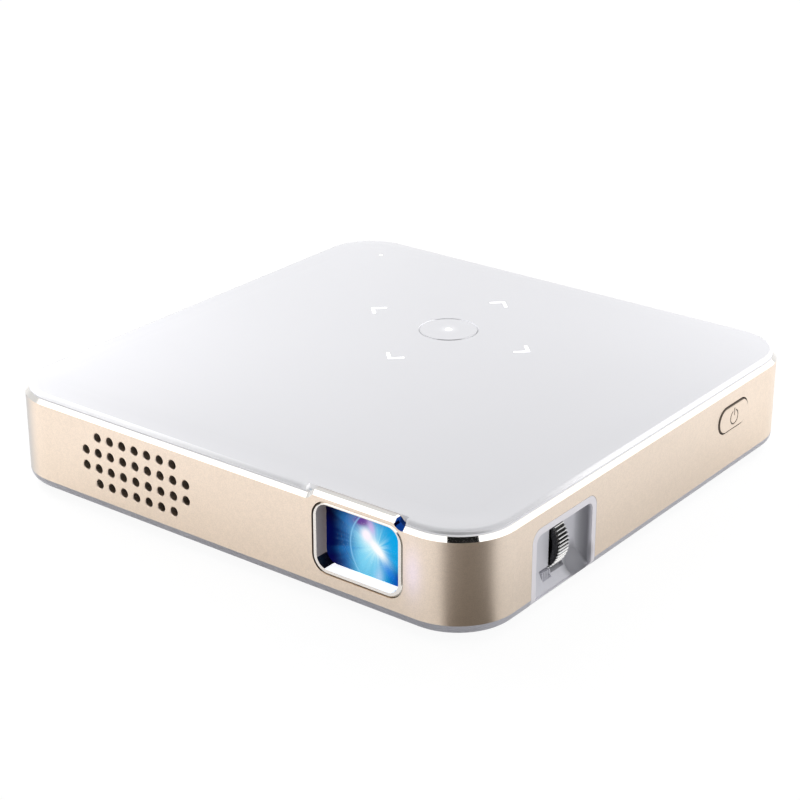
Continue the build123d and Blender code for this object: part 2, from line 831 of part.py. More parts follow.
with BuildPart() as focus_pocket:
    plate_x(
        (insert_front, insert_back),
        (insert_bottom - 2 * pocket_corner, insert_top),
        (pocket_floor_x - pocket_wall, right),
        pocket_corner,
    )
    block((left, right + 1), (front, back), (-10, insert_bottom), mode=Mode.SUBTRACT)
    # the sill's rounded lower edge runs on across the insert
    low_edge = [
        e
        for e in focus_pocket.edges().filter_by(Axis.Y)
        if abs(e.center().X - right) < tolerance and abs(e.center().Z - insert_bottom) < tolerance
    ]
    fillet(low_edge, sill_radius)
    # flange that bears on the inside of the band
    plate_x(
        (insert_front - pocket_flange, insert_back + pocket_flange),
        (band_bottom + insert_gap, insert_top + pocket_flange),
        (band_inside - insert_gap - pocket_flange_thickness, band_inside - insert_gap),
        pocket_flange_corner,
    )
    add(recess.part, mode=Mode.SUBTRACT)
    # round hollow for the finger tip, in the ramp
    with Locations((right + scoop_stands_out, pocket_front + scoop_from_pocket_front, scoop_height)):
        Sphere(scoop_radius, mode=Mode.SUBTRACT)
    block(
        (pocket_floor_x - pocket_wall / 2, floor_cut),
        (disc_front - slot_gap, disc_back + slot_gap),
        (wheel_z - slot_half, wheel_z + slot_half),
        mode=Mode.SUBTRACT,
    )
    block(
        (pocket_floor_x - pocket_wall - 1, pocket_floor_x - pocket_wall / 2),
        (disc_front - slot_gap, disc_back + slot_gap),
        (wheel_z - slot_half - slot_room, wheel_z + slot_half + slot_room),
        mode=Mode.SUBTRACT,
    )
    # small stepped notch beside the foot of the slot, with ribs in it
    block((pocket_floor_x - detent_depth, floor_cut), detent_y, detent_z, mode=Mode.SUBTRACT)
    block(
        (pocket_floor_x - detent_depth, floor_cut),
        (detent_y[1] - detent_step[0], disc_front),
        (detent_z[0] + detent_step[1], detent_z[1]),
        mode=Mode.SUBTRACT,
    )
    for rib in range(5):
        rib_y = detent_y[0] + rib_pitch * (rib + 0.5)
        block(
            (pocket_floor_x - detent_depth, pocket_floor_x + 0.5),
            (rib_y, rib_y + rib_width),
            (detent_z[0], detent_z[0] + rib_height),
        )
focus_pocket.part.label = "focus_pocket"
export_step(focus_pocket.part, "parts/focus_pocket.step")

# ---------------------------------------------------------------- focus gears
wheel_pitch = gear_module * wheel_teeth / 2
idler_pitch = gear_module * idler_teeth / 2
ring_pitch = gear_module * ring_teeth / 2
lens_to_idler = ring_pitch + idler_pitch + mesh_play
idler_to_wheel = idler_pitch + wheel_pitch + mesh_play
span_x = wheel_x - lens_x
span_z = wheel_z - lens_height
span = sqrt(span_x**2 + span_z**2)
along_span = (lens_to_idler**2 - idler_to_wheel**2 + span**2) / (2 * span)
off_span = sqrt(lens_to_idler**2 - along_span**2)
idler_x = lens_x + (span_x * along_span + span_z * off_span) / span
idler_z = lens_height + (span_z * along_span - span_x * off_span) / span
lens_to_idler_angle = degrees(atan2(idler_z - lens_height, idler_x - lens_x))
idler_to_wheel_angle = degrees(atan2(wheel_z - idler_z, wheel_x - idler_x))
# a tooth of one gear stands in a gap of the next, along each line of centres
ring_phase = lens_to_idler_angle
idler_phase = lens_to_idler_angle + 180 + 180 / idler_teeth
idler_shift = (idler_phase - idler_to_wheel_angle) * idler_teeth / wheel_teeth
wheel_phase = idler_to_wheel_angle + 180 - idler_shift + 180 / wheel_teeth

dish_rim = 1.3
dish_depth = 0.3

with BuildPart() as focus_wheel:
    # toothed disc, its teeth bevelled at both rims
    gear_shape((wheel_x, wheel_z), (disc_front, disc_back), wheel_teeth, wheel_phase)
    with BuildSketch(Plane(origin=(wheel_x, wheel_y, wheel_z), x_dir=(0, 1, 0), z_dir=(-1, 0, 0))):
        with BuildLine():
            Polyline(
                (-wheel_thickness / 2, 0),
                (-wheel_thickness / 2, wheel_radius - rim_bevel),
                (-wheel_thickness / 2 + rim_bevel, wheel_radius),
                (wheel_thickness / 2 - rim_bevel, wheel_radius),
                (wheel_thickness / 2, wheel_radius - rim_bevel),
                (wheel_thickness / 2, 0),
                close=True,
            )
        make_face()
    revolve(axis=Axis((wheel_x, wheel_y, wheel_z), (0, 1, 0)), mode=Mode.INTERSECT)
    before_disc = (wheel_x, disc_front - 1, wheel_z)
    rod(before_disc, axle_radius + running_gap, wheel_thickness + 2, (0, 1, 0), Mode.SUBTRACT)
    # shallow dish in the front face
    rod(before_disc, wheel_radius - dish_rim, 1 + dish_depth, (0, 1, 0), Mode.SUBTRACT)
focus_wheel.part.label = "focus_wheel"
export_step(focus_wheel.part, "parts/focus_wheel.step")

arm_thickness = 1.0
arm_gap = 0.3
arm_rise = 2.0
arm_reach = 3.2
bracket_base = 0.8
axle_end = 0.2
front_arm = (disc_front - arm_gap - arm_thickness, disc_front - arm_gap)
rear_arm = (disc_back + arm_gap, disc_back + arm_gap + arm_thickness)
bracket_x = (wheel_x - arm_reach, pocket_floor_x - pocket_wall - axle_end)

with BuildPart() as wheel_bracket:
    block(bracket_x, (front_arm[0], rear_arm[1]), (floor_top, floor_top + bracket_base))
    for arm in (front_arm, rear_arm):
        block(bracket_x, arm, (floor_top, wheel_z + arm_rise))
    block(
        (wheel_x - wheel_radius - 1, wheel_x + wheel_radius + 1),
        (disc_front - arm_gap, disc_back + arm_gap),
        (wheel_z - wheel_radius - slot_gap, wheel_z + wheel_radius),
        mode=Mode.SUBTRACT,
    )
    across_arms = rear_arm[1] - front_arm[0]
    rod((wheel_x, front_arm[0] - 1, wheel_z), axle_radius, across_arms + 2, (0, 1, 0), Mode.SUBTRACT)
wheel_bracket.part.label = "wheel_bracket"
export_step(wheel_bracket.part, "parts/wheel_bracket.step")

with BuildPart() as wheel_axle:
    rod((wheel_x, front_arm[0] - axle_end, wheel_z), axle_radius, across_arms + 2 * axle_end, (0, 1, 0))
wheel_axle.part.label = "wheel_axle"
export_step(wheel_axle.part, "parts/wheel_axle.step")

hub_wall = 0.7
end_play = 0.15
pin_head = gear_front - end_play
pin_head_thickness = 0.4
pin_head_lap = 0.5

with BuildPart() as idler_gear:
    gear_shape((idler_x, idler_z), (gear_front, gear_back), idler_teeth, idler_phase)
    rod((idler_x, gear_back, idler_z), hub_wall + pin_radius, engine_front - end_play - gear_back, (0, 1, 0))
    rod((idler_x, gear_front - 1, idler_z), pin_radius + running_gap, 20, (0, 1, 0), Mode.SUBTRACT)
idler_gear.part.label = "idler_gear"
export_step(idler_gear.part, "parts/idler_gear.step")

with BuildPart() as idler_pin:
    rod((idler_x, pin_head, idler_z), pin_radius, engine_front + engine_wall - pin_head, (0, 1, 0))
    before_head = (idler_x, pin_head - pin_head_thickness, idler_z)
    rod(before_head, pin_radius + pin_head_lap, pin_head_thickness, (0, 1, 0))
idler_pin.part.label = "idler_pin"
export_step(idler_pin.part, "parts/idler_pin.step")

# ---------------------------------------------------------------- lens
cell_front = front + cell_front_from_front
cell_step = cell_front + cell_front_length
rear_tube_bore = rear_tube_radius - rear_tube_wall
sleeve_bore = rear_tube_radius + fit_gap
sleeve_radius = sleeve_bore + sleeve_wall
housing_bore = cell_radius + fit_gap
housing_radius = housing_bore + lens_housing_wall
housing_front = front + housing_from_front
shoulder_front = cell_step + focus_travel + shoulder_room
shoulder_back = shoulder_front + shoulder_thickness
cell_back = engine_front - fit_gap
ring_bore = sleeve_radius + running_gap
ring_wall = 0.55
ring_room = engine_front - shoulder_back
ring_ends = (shoulder_back + end_play, engine_front - end_play)

with BuildPart() as focus_ring:
    gear_shape((lens_x, lens_height), (gear_front, gear_back), ring_teeth, ring_phase)
    rod((lens_x, ring_ends[0], lens_height), ring_bore + ring_wall, ring_ends[1] - ring_ends[0], (0, 1, 0))
    rod((lens_x, shoulder_back, lens_height), ring_bore, ring_room, (0, 1, 0), Mode.SUBTRACT)
focus_ring.part.label = "focus_ring"
export_step(focus_ring.part, "parts/focus_ring.step")

with BuildPart() as lens_cell:
    rod((lens_x, cell_front, lens_height), cell_radius, cell_front_length, (0, 1, 0))
    rod((lens_x, cell_front, lens_height), rear_tube_radius, cell_back - cell_front, (0, 1, 0))
    block(
        (lens_x - key_width / 2, lens_x + key_width / 2),
        (cell_step - key_from_step[0], cell_step - key_from_step[1]),
        (lens_height - cell_radius - key_rise, lens_height - cell_radius + key_sunk),
    )
    before_cell = (lens_x, cell_front - 1, lens_height)
    rod(before_cell, cell_radius - cell_wall, cell_front_bore_depth + 1, (0, 1, 0), Mode.SUBTRACT)
    rod(before_cell, cell_radius - cell_bore_wall, cell_front_length, (0, 1, 0), Mode.SUBTRACT)
    tube_length = cell_back - cell_front
    rod((lens_x, cell_front, lens_height), rear_tube_bore, tube_length + 1, (0, 1, 0), Mode.SUBTRACT)
    seat = (lens_x, cell_step - middle_lens_seat[0], lens_height)
    rod(seat, cell_radius - middle_lens_wall, middle_lens_seat[1], (0, 1, 0), Mode.SUBTRACT)
    chamfer(lens_cell.edges().group_by(Axis.Y)[0], cell_bevel)
lens_cell.part.label = "lens_cell"
export_step(lens_cell.part, "parts/lens_cell.step")

with BuildPart() as front_lens:
    centre = (lens_x, cell_front + lens_setback, lens_height)
    lens_shape(centre, (0, 1, 0), cell_radius - cell_wall, *front_lens_form)
front_lens.part.label = "front_lens"
export_step(front_lens.part, "parts/front_lens.step")

with BuildPart() as middle_lens:
    centre = (lens_x, cell_step - middle_lens_seat[0] + middle_lens_seat[1] / 2, lens_height)
    lens_shape(centre, (0, 1, 0), cell_radius - middle_lens_wall, *middle_lens_form)
middle_lens.part.label = "middle_lens"
export_step(middle_lens.part, "parts/middle_lens.step")

with BuildPart() as rear_lens:
    centre = (lens_x, cell_back - lens_setback, lens_height)
    lens_shape(centre, (0, 1, 0), rear_tube_bore, *rear_lens_form)
rear_lens.part.label = "rear_lens"
export_step(rear_lens.part, "parts/rear_lens.step")

saddle_half = 4.5
saddle_setback = 2.0
lug_half = 8.0
lug_length = 3.0
lug_height = 1.5
key_room = 0.5

with BuildPart() as lens_housing:
    rod((lens_x, housing_front, lens_height), housing_radius, shoulder_back - housing_front, (0, 1, 0))
    block(
        (lens_x - saddle_half, lens_x + saddle_half),
        (housing_front + saddle_setback, shoulder_back),
        (floor_top, lens_height - housing_radius / 2),
    )
    block(
        (lens_x - lug_half, lens_x + lug_half),
        (shoulder_back - lug_length, shoulder_back),
        (floor_top, floor_top + lug_height),
    )
    housing_reach = shoulder_front - housing_front
    sleeve_length = engine_front - shoulder_front
    rod((lens_x, housing_front - 1, lens_height), housing_bore, housing_reach + 1, (0, 1, 0), Mode.SUBTRACT)
    rod((lens_x, shoulder_front, lens_height), sleeve_radius, sleeve_length, (0, 1, 0))
    rod((lens_x, shoulder_front - 1, lens_height), sleeve_bore, sleeve_length + 2, (0, 1, 0), Mode.SUBTRACT)
    block(
        (lens_x - key_width / 2 - fit_gap, lens_x + key_width / 2 + fit_gap),
        (
            cell_step - key_from_step[0] - focus_travel - key_room,
            cell_step - key_from_step[1] + focus_travel + key_room,
        ),
        (lens_height - cell_radius - key_rise - fit_gap, lens_height - cell_radius + key_sunk),
        mode=Mode.SUBTRACT,
    )
    # a large housing has a flat under the cover
    block((left, right), (front, engine_front), (cover_bottom - fit_gap, cover_top), mode=Mode.SUBTRACT)
lens_housing.part.label = "lens_housing"
export_step(lens_housing.part, "parts/lens_housing.step")

# ---------------------------------------------------------------- light engine
chamber_x = (engine_left + engine_wall, engine_right - engine_wall)
chamber_y = (engine_front + engine_wall, engine_back - engine_wall)
engine_lug = 2.5
engine_lug_rise = 2.0
optic_gap = 0.4
prism_side = 12.0
prism_gap = 0.8
chip_half = 4.5
chip_half_height = 3.0
chip_gap = 0.3
chip_thickness = 1.0
chip_board = (-6.4, 5.9)
chip_board_thickness = 0.8
combiner_from_chamber = 9.3
combiner_plate = (8.0, 0.6)
relay_from_combiner = 6.8
relay_radius = 3.3
collimator_from_wall = 3.4
collimator_radius = 3.0
led_board_side = 6.4
led_board_thickness = 0.8
led_side = 2.2
led_thickness = 0.6

with BuildPart() as engine_housing:
    block((engine_left, engine_right), (engine_front, engine_back), (floor_top, engine_top))
    block(
        (engine_right - 1, idler_x + engine_lug),
        (engine_front, engine_front + engine_wall),
        (floor_top, idler_z + engine_lug_rise),
    )
    block(chamber_x, chamber_y, (chamber_floor, engine_top + 1), mode=Mode.SUBTRACT)
    block(chamber_x, chamber_y, (floor_top - 1, chamber_floor - engine_wall), mode=Mode.SUBTRACT)
    rod((lens_x, engine_front - 1, lens_height), sleeve_bore, engine_wall + 1.5, (0, 1, 0), Mode.SUBTRACT)
    rod((idler_x, engine_front - 1, idler_z), pin_radius, engine_wall + 2, (0, 1, 0), Mode.SUBTRACT)
engine_housing.part.label = "engine_housing"
export_step(engine_housing.part, "parts/engine_housing.step")

with BuildPart() as engine_lid:
    lid_top = engine_top + engine_lid_thickness
    block((engine_left, engine_right), (engine_front, engine_back), (engine_top, lid_top))
engine_lid.part.label = "engine_lid"
export_step(engine_lid.part, "parts/engine_lid.step")

prism_x = (lens_x - prism_side / 2, lens_x + prism_side / 2)
prism_y = (chamber_y[0] + prism_gap, chamber_y[0] + prism_gap + prism_side)
chip_y = prism_y[1] + chip_gap
optic_z = (chamber_floor, engine_top - optic_gap)
optic_middle = (optic_z[0] + optic_z[1]) / 2

with BuildPart() as prism:
    block(prism_x, prism_y, optic_z)
prism.part.label = "prism"
export_step(prism.part, "parts/prism.step")

with BuildPart() as mirror_chip:
    block(
        (lens_x - chip_half, lens_x + chip_half),
        (chip_y, chip_y + chip_thickness),
        (optic_middle - chip_half_height, optic_middle + chip_half_height),
    )
mirror_chip.part.label = "mirror_chip"
export_step(mirror_chip.part, "parts/mirror_chip.step")

with BuildPart() as mirror_chip_board:
    chip_board_y = chip_y + chip_thickness
    block(
        (lens_x + chip_board[0], lens_x + chip_board[1]),
        (chip_board_y, chip_board_y + chip_board_thickness),
        optic_z,
    )
mirror_chip_board.part.label = "mirror_chip_board"
export_step(mirror_chip_board.part, "parts/mirror_chip_board.step")

combine_x = chamber_x[0] + combiner_from_chamber
with BuildPart() as dichroic_plates:
    for turn in (45, 135):
        with BuildSketch(Plane.XY.offset(optic_z[0])):
            with Locations(Location((combine_x, engine_middle_y, 0), (0, 0, turn))):
                Rectangle(*combiner_plate)
        extrude(amount=optic_z[1] - optic_z[0])
dichroic_plates.part.label = "dichroic_plates"
export_step(dichroic_plates.part, "parts/dichroic_plates.step")

with BuildPart() as relay_lens:
    centre = (combine_x + relay_from_combiner, engine_middle_y, optic_middle)
    lens_shape(centre, (1, 0, 0), relay_radius, *relay_lens_form)
relay_lens.part.label = "relay_lens"
export_step(relay_lens.part, "parts/relay_lens.step")

led_places = (
    ((chamber_x[0], engine_middle_y), (1, 0)),
    ((combine_x, chamber_y[0]), (0, 1)),
    ((combine_x, chamber_y[1]), (0, -1)),
)
with BuildPart() as collimator_lenses:
    for (x, y), (dx, dy) in led_places:
        centre = (x + collimator_from_wall * dx, y + collimator_from_wall * dy, optic_middle)
        lens_shape(centre, (dx, dy, 0), collimator_radius, *collimator_form)
collimator_lenses.part.label = "collimator_lenses"
export_step(collimator_lenses.part, "parts/collimator_lenses.step")

with BuildPart() as led_modules:
    for (x, y), (dx, dy) in led_places:
        with BuildSketch(Plane(origin=(x, y, optic_middle), x_dir=(-dy, dx, 0), z_dir=(dx, dy, 0))):
            Rectangle(led_board_side, led_board_side)
        extrude(amount=led_board_thickness)
        led_foot = (x + led_board_thickness * dx, y + led_board_thickness * dy, optic_middle)
        with BuildSketch(Plane(origin=led_foot, z_dir=(dx, dy, 0))):
            Rectangle(led_side, led_side)
        extrude(amount=led_thickness)
led_modules.part.label = "led_modules"
export_step(led_modules.part, "parts/led_modules.step")

# ---------------------------------------------------------------- cooling
spreader_thickness = 1.2
spreader_inset = (1.0, 2.0)
spreader_gap = (0.6, 0.5)
spreader_back = engine_back + spreader_thickness
with BuildPart() as heat_spreader:
    block(
        (engine_left + spreader_inset[0], engine_right - spreader_inset[1]),
        (engine_back, spreader_back),
        (floor_top + spreader_gap[0], engine_top - spreader_gap[1]),
    )
heat_spreader.part.label = "heat_spreader"
export_step(heat_spreader.part, "parts/heat_spreader.step")

sink_gap = 0.3
sink_setback = 0.5
sink_lap = 0.6
fin_pitch = 2.0
fin_thickness = 0.5
sink_x = (left + inner_inset + fit_gap, fan_left - sink_gap)
sink_y = (fan_front + sink_setback, fan_back - sink_setback)
sink_base_top = pipe_z + pipe_radius + sink_lap
pipe_x = (sink_x[0] + sink_x[1]) / 2
pipe_lane = fan_front - 2.3

with BuildPart() as heat_pipe:
    tube_along(
        [
            (engine_right - 3.5, spreader_back + pipe_radius, pipe_z),
            (engine_left - 2.0, spreader_back + pipe_radius, pipe_z),
            (engine_left - 8.0, pipe_lane, pipe_z),
            (pipe_x, pipe_lane, pipe_z),
            (pipe_x, sink_y[1] - 1.5, pipe_z),
        ],
        pipe_radius,
        2.4,
    )
heat_pipe.part.label = "heat_pipe"
export_step(heat_pipe.part, "parts/heat_pipe.step")

with BuildPart() as heat_sink:
    block(sink_x, sink_y, (floor_top + 0.2, sink_base_top))
    fin_count = int((sink_y[1] - sink_y[0]) / fin_pitch)
    fin_step = (sink_y[1] - sink_y[0] - fin_thickness) / fin_count
    for fin in range(fin_count + 1):
        fin_y = sink_y[0] + fin * fin_step
        block(sink_x, (fin_y, fin_y + fin_thickness), (sink_base_top, fan_top))
    rod((pipe_x, sink_y[0] - 1, pipe_z), pipe_radius, sink_y[1] - sink_y[0] - 0.5, (0, 1, 0), Mode.SUBTRACT)
heat_sink.part.label = "heat_sink"
export_step(heat_sink.part, "parts/heat_sink.step")

lid_thickness = 0.8
base_thickness = 1.0
housing_round = 3.0
outlet_setback = 1.0
outlet_length = 4.0
arm_width = 1.6
motor_wall = 1.6
motor_height = 3.6
hub_wall_thickness = 0.8
boss_radius = 1.8
boss_length = 1.5
fan_foot_radius = 1.5
fan_foot_inset = 2.5
rotor_low = fan_bottom + base_thickness + 0.8
rotor_high = fan_top - lid_thickness - 0.5
shaft_radius = 0.75
shaft_short = 0.3

with BuildPart() as fan_housing:
    lid_bottom = fan_top - lid_thickness
    block((fan_left, fan_right), (fan_front, fan_back), (fan_bottom, lid_bottom), round_off=housing_round)
    block(
        (fan_left + fan_wall, fan_right - fan_wall),
        (fan_front + fan_wall, fan_back - fan_wall),
        (fan_bottom + base_thickness, fan_top),
        mode=Mode.SUBTRACT,
        round_off=housing_round - fan_wall,
    )
    block(
        (fan_left - 1, fan_left + outlet_length),
        (fan_front + fan_wall + outlet_setback, fan_back - fan_wall - outlet_setback),
        (fan_bottom + base_thickness, fan_top),
        mode=Mode.SUBTRACT,
    )
    # inlet in the base, crossed by the motor's three arms
    rod((fan_x, fan_y, fan_bottom - 1), inlet_radius, base_thickness + 2, mode=Mode.SUBTRACT)
    rod((fan_x, fan_y, fan_bottom), hub_radius, base_thickness)
    with BuildSketch(Plane.XY.offset(fan_bottom)):
        with Locations((fan_x, fan_y)):
            with PolarLocations((hub_radius + inlet_radius) / 2, 3):
                Rectangle(inlet_radius - hub_radius + 1, arm_width)
    extrude(amount=base_thickness)
    for x in (fan_left + fan_foot_inset, fan_right - fan_foot_inset):
        for y in (fan_front + fan_foot_inset, fan_back - fan_foot_inset):
            rod((x, y, floor_top), fan_foot_radius, fan_bottom - floor_top)
fan_housing.part.label = "fan_housing"
export_step(fan_housing.part, "parts/fan_housing.step")

with BuildPart() as fan_lid:
    block((fan_left, fan_right), (fan_front, fan_back), (lid_bottom, fan_top), round_off=housing_round)
    rod((fan_x, fan_y, lid_bottom - 1), inlet_radius, lid_thickness + 2, mode=Mode.SUBTRACT)
fan_lid.part.label = "fan_lid"
export_step(fan_lid.part, "parts/fan_lid.step")

with BuildPart() as fan_motor:
    motor_foot = fan_bottom + base_thickness
    rod((fan_x, fan_y, motor_foot), hub_radius - motor_wall, motor_height)
    rod((fan_x, fan_y, motor_foot), shaft_radius, rotor_high - shaft_short - motor_foot)
fan_motor.part.label = "fan_motor"
export_step(fan_motor.part, "parts/fan_motor.step")

with BuildPart() as fan_rotor:
    rotor_height = rotor_high - rotor_low
    rod((fan_x, fan_y, rotor_low), rotor_radius, rotor_plate)
    rod((fan_x, fan_y, rotor_low), hub_radius, rotor_height)
    rod((fan_x, fan_y, rotor_low - 1), hub_radius - hub_wall_thickness, rotor_height, mode=Mode.SUBTRACT)
    rod((fan_x, fan_y, rotor_high - boss_length - 0.5), boss_radius, boss_length)
    with BuildSketch(Plane.XY.offset(rotor_low)):
        with Locations((fan_x, fan_y)):
            with PolarLocations((hub_radius + rotor_radius + blade_gap) / 2, rotor_blades):
                Rectangle(rotor_radius - hub_radius - blade_gap, blade_thickness, rotation=blade_turn)
    extrude(amount=rotor_high - rotor_low)
    rod((fan_x, fan_y, rotor_low - 1), shaft_radius + running_gap, 20, mode=Mode.SUBTRACT)
fan_rotor.part.label = "fan_rotor"
export_step(fan_rotor.part, "parts/fan_rotor.step")

# ---------------------------------------------------------------- battery and boards
battery_bottom = floor_top + 0.2
with BuildPart() as battery:
    block(
        (battery_left, battery_right),
        (battery_front, battery_back),
        (battery_bottom, battery_bottom + battery_height),
    )
    fillet(battery.edges().filter_by(Axis.Y), battery_round)
battery.part.label = "battery"
export_step(battery.part, "parts/battery.step")

board_left = left + 6.0
board_waist = board_split + 9.5
board_back = back - 4.5
board_gap = 1.0

with BuildPart() as main_board:
    block((board_left, board_waist), (board_front, fan_front - 1.5), (board_bottom, board_top))
    block((board_split, board_right), (spreader_back + 1.3, board_back), (board_bottom, board_top))
    # the board stops short of the light engine, and leaves room for the corner posts
    block(
        (engine_left - board_gap, right),
        (front, engine_back + board_gap),
        (board_bottom - 1, board_top + 1),
        mode=Mode.SUBTRACT,
    )
    for x, y in post_points:
        rod((x, y, board_bottom - 1), post_radius + post_gap, board_thickness + 2, mode=Mode.SUBTRACT)
    for x, y in standoff_points:
        rod((x, y, board_bottom - 1), board_screw_radius + fit_gap, board_thickness + 2, mode=Mode.SUBTRACT)
main_board.part.label = "main_board"
export_step(main_board.part, "parts/main_board.step")

with BuildPart() as board_screws:
    screw_foot = floor_top + 1.5
    for x, y in standoff_points:
        rod((x, y, screw_foot), board_screw_radius, board_top - screw_foot)
        rod((x, y, board_top), board_screw_head_radius, board_screw_head_height)
board_screws.part.label = "board_screws"
export_step(board_screws.part, "parts/board_screws.step")

can_x = (board_split + 13.0, board_split + 33.0)
can_y = (spreader_back + 10.0, spreader_back + 28.0)
can_height = 2.6
can_wall = 0.3
can_corner = 1.0
with BuildPart() as shield_can:
    block(can_x, can_y, (board_top, board_top + can_height), round_off=can_corner)
    block(
        (can_x[0] + can_wall, can_x[1] - can_wall),
        (can_y[0] + can_wall, can_y[1] - can_wall),
        (board_top - 1, board_top + can_height - can_wall),
        mode=Mode.SUBTRACT,
        round_off=can_corner - can_wall,
    )
shield_can.part.label = "shield_can"
export_step(shield_can.part, "parts/shield_can.step")

# each chip's corner and its size along x, y and z
chips = [
    ((can_x[0] + 3.0, can_y[0] + 4.0), (10.0, 10.0, 1.2)),
    ((can_x[0] + 14.5, can_y[0] + 4.0), (4.0, 8.0, 1.0)),
    ((board_left + 8.0, board_front + 14.0), (6.0, 6.0, 1.0)),
    ((board_left + 20.0, board_front + 26.0), (4.0, 5.0, 3.0)),
    ((board_left + 8.0, board_front + 30.0), (3.5, 3.5, 2.0)),
    ((board_right - 6.0, spreader_back + 17.0), (4.0, 3.0, 1.5)),
]
with BuildPart() as board_chips:
    for (x, y), (long_x, long_y, high) in chips:
        block((x, x + long_x), (y, y + long_y), (board_top, board_top + high))
board_chips.part.label = "board_chips"
export_step(board_chips.part, "parts/board_chips.step")

# ---------------------------------------------------------------- sockets and their panel
def socket_body(x, body, face):
    """The block of a socket, on the board, with its front at the level of face."""
    half, height = body
    block((x - half, x + half), (socket_front, face), (board_top, board_top + height))


# half sizes of the openings and tongues
hdmi_opening = (7.0, 2.25)
hdmi_slant = (5.4, 0.6)
hdmi_tongue = (5.5, 0.5)
usb_opening = (6.25, 2.56)
usb_tongue = 5.6
usb_tongue_z = (0.2, 2.0)
opening_depth = 9.0
tongue_setback = 1.5

with BuildPart() as hdmi_socket:
    socket_body(hdmi_x, hdmi_body, socket_face)
    with BuildSketch(Plane.XZ.offset(-socket_face - 1)):
        with Locations((hdmi_x, socket_z)):
            with BuildLine():
                Polyline(
                    (-hdmi_opening[0], hdmi_opening[1]),
                    (hdmi_opening[0], hdmi_opening[1]),
                    (hdmi_opening[0], -hdmi_slant[1]),
                    (hdmi_slant[0], -hdmi_opening[1]),
                    (-hdmi_slant[0], -hdmi_opening[1]),
                    (-hdmi_opening[0], -hdmi_slant[1]),
                    close=True,
                )
            make_face()
    extrude(amount=opening_depth + 1, mode=Mode.SUBTRACT)
    block(
        (hdmi_x - hdmi_tongue[0], hdmi_x + hdmi_tongue[0]),
        (socket_front + 2, socket_face - tongue_setback),
        (socket_z - hdmi_tongue[1], socket_z + hdmi_tongue[1]),
    )
hdmi_socket.part.label = "hdmi_socket"
export_step(hdmi_socket.part, "parts/hdmi_socket.step")

with BuildPart() as usb_socket:
    socket_body(usb_x, usb_body, socket_face)
    block(
        (usb_x - usb_opening[0], usb_x + usb_opening[0]),
        (socket_front + 1, socket_face + 1),
        (socket_z - usb_opening[1], socket_z + usb_opening[1]),
        mode=Mode.SUBTRACT,
    )
    block(
        (usb_x - usb_tongue, usb_x + usb_tongue),
        (socket_front + 1, socket_face - 1),
        (socket_z + usb_tongue_z[0], socket_z + usb_tongue_z[1]),
    )
usb_socket.part.label = "usb_socket"
export_step(usb_socket.part, "parts/usb_socket.step")

with BuildPart() as audio_socket:
    socket_body(audio_x, audio_body, audio_shoulder)
    collar_length = socket_face - audio_shoulder
    rod((audio_x, audio_shoulder, socket_z), audio_collar, collar_length, (0, 1, 0))
    rod((audio_x, socket_front + 1, socket_z), audio_bore, 20, (0, 1, 0), Mode.SUBTRACT)
audio_socket.part.label = "audio_socket"
export_step(audio_socket.part, "parts/audio_socket.step")

with BuildPart() as dc_socket:
    socket_body(dc_x, dc_body, socket_face)
    rod((dc_x, socket_front + 2.5, socket_z), dc_bore, 20, (0, 1, 0), Mode.SUBTRACT)
    rod((dc_x, socket_front + 2, socket_z), dc_pin, socket_face - socket_front - 3.0, (0, 1, 0))
dc_socket.part.label = "dc_socket"
export_step(dc_socket.part, "parts/dc_socket.step")

panel_gap = 0.1
panel_setback = 0.2
panel_flange_thickness = 0.9
with BuildPart() as port_panel:
    plate_y(
        (panel_left + insert_gap, panel_right - insert_gap),
        (panel_low + insert_gap, panel_high - insert_gap),
        (back - band_wall - insert_gap, back - panel_setback),
        panel_corner - insert_gap,
    )
    plate_y(
        (panel_left - panel_flange, panel_right + panel_flange),
        (board_top + panel_gap, panel_high + panel_flange),
        (back - band_wall - panel_flange_thickness, back - band_wall - insert_gap),
        panel_corner,
    )
    for x, (half, height) in ((hdmi_x, hdmi_body), (usb_x, usb_body), (dc_x, dc_body)):
        block(
            (x - half - panel_gap, x + half + panel_gap),
            (back - 10, back + 1),
            (board_top - panel_gap, board_top + height + panel_gap),
            mode=Mode.SUBTRACT,
        )
    rod((audio_x, back - 10, socket_z), audio_collar + panel_gap, 20, (0, 1, 0), Mode.SUBTRACT)
port_panel.part.label = "port_panel"
export_step(port_panel.part, "parts/port_panel.step")

# ---------------------------------------------------------------- touch board
lamp_height = 0.6
lamp_half = 0.8
touch_board_half = (23.0, 20.5)
board_arm_y = (4.5, 2.5)
lamp_inset = 0.6
connector_lap = 1.0
connector_length = 3.0
connector_height = 1.2
flex_from_touch = 4.0
flex_width = 6.0
flex_thickness = 0.2
flex_bend = 1.2

with BuildPart() as touch_board:
    block(
        (touch_x - touch_board_half[0], touch_x + touch_board_half[0]),
        (touch_y - touch_board_half[1], touch_y + touch_board_half[1]),
        (touch_board_bottom, cover_bottom),
    )
    block(
        (status_x - lamp_inset, touch_x),
        (status_y - board_arm_y[0], status_y + board_arm_y[1]),
        (touch_board_bottom, cover_bottom),
    )
    lamp_centres = [(touch_x, touch_y), (status_x + lamp_inset, status_y)]
    for turn in range(4):
        dx, dy = polar(arrow_reach - 1.0, 90 * turn)
        lamp_centres.append((touch_x + dx, touch_y + dy))
    for x, y in lamp_centres:
        block(
            (x - lamp_half, x + lamp_half),
            (y - lamp_half, y + lamp_half),
            (touch_board_bottom - lamp_height, touch_board_bottom),
        )
    flex_x = (touch_x + flex_from_touch, touch_x + flex_from_touch + flex_width)
    flex_y = spreader_back + 6.0
    block(
        (flex_x[0] - connector_lap, flex_x[1] + connector_lap),
        (flex_y, flex_y + connector_length),
        (touch_board_bottom - connector_height, touch_board_bottom),
    )
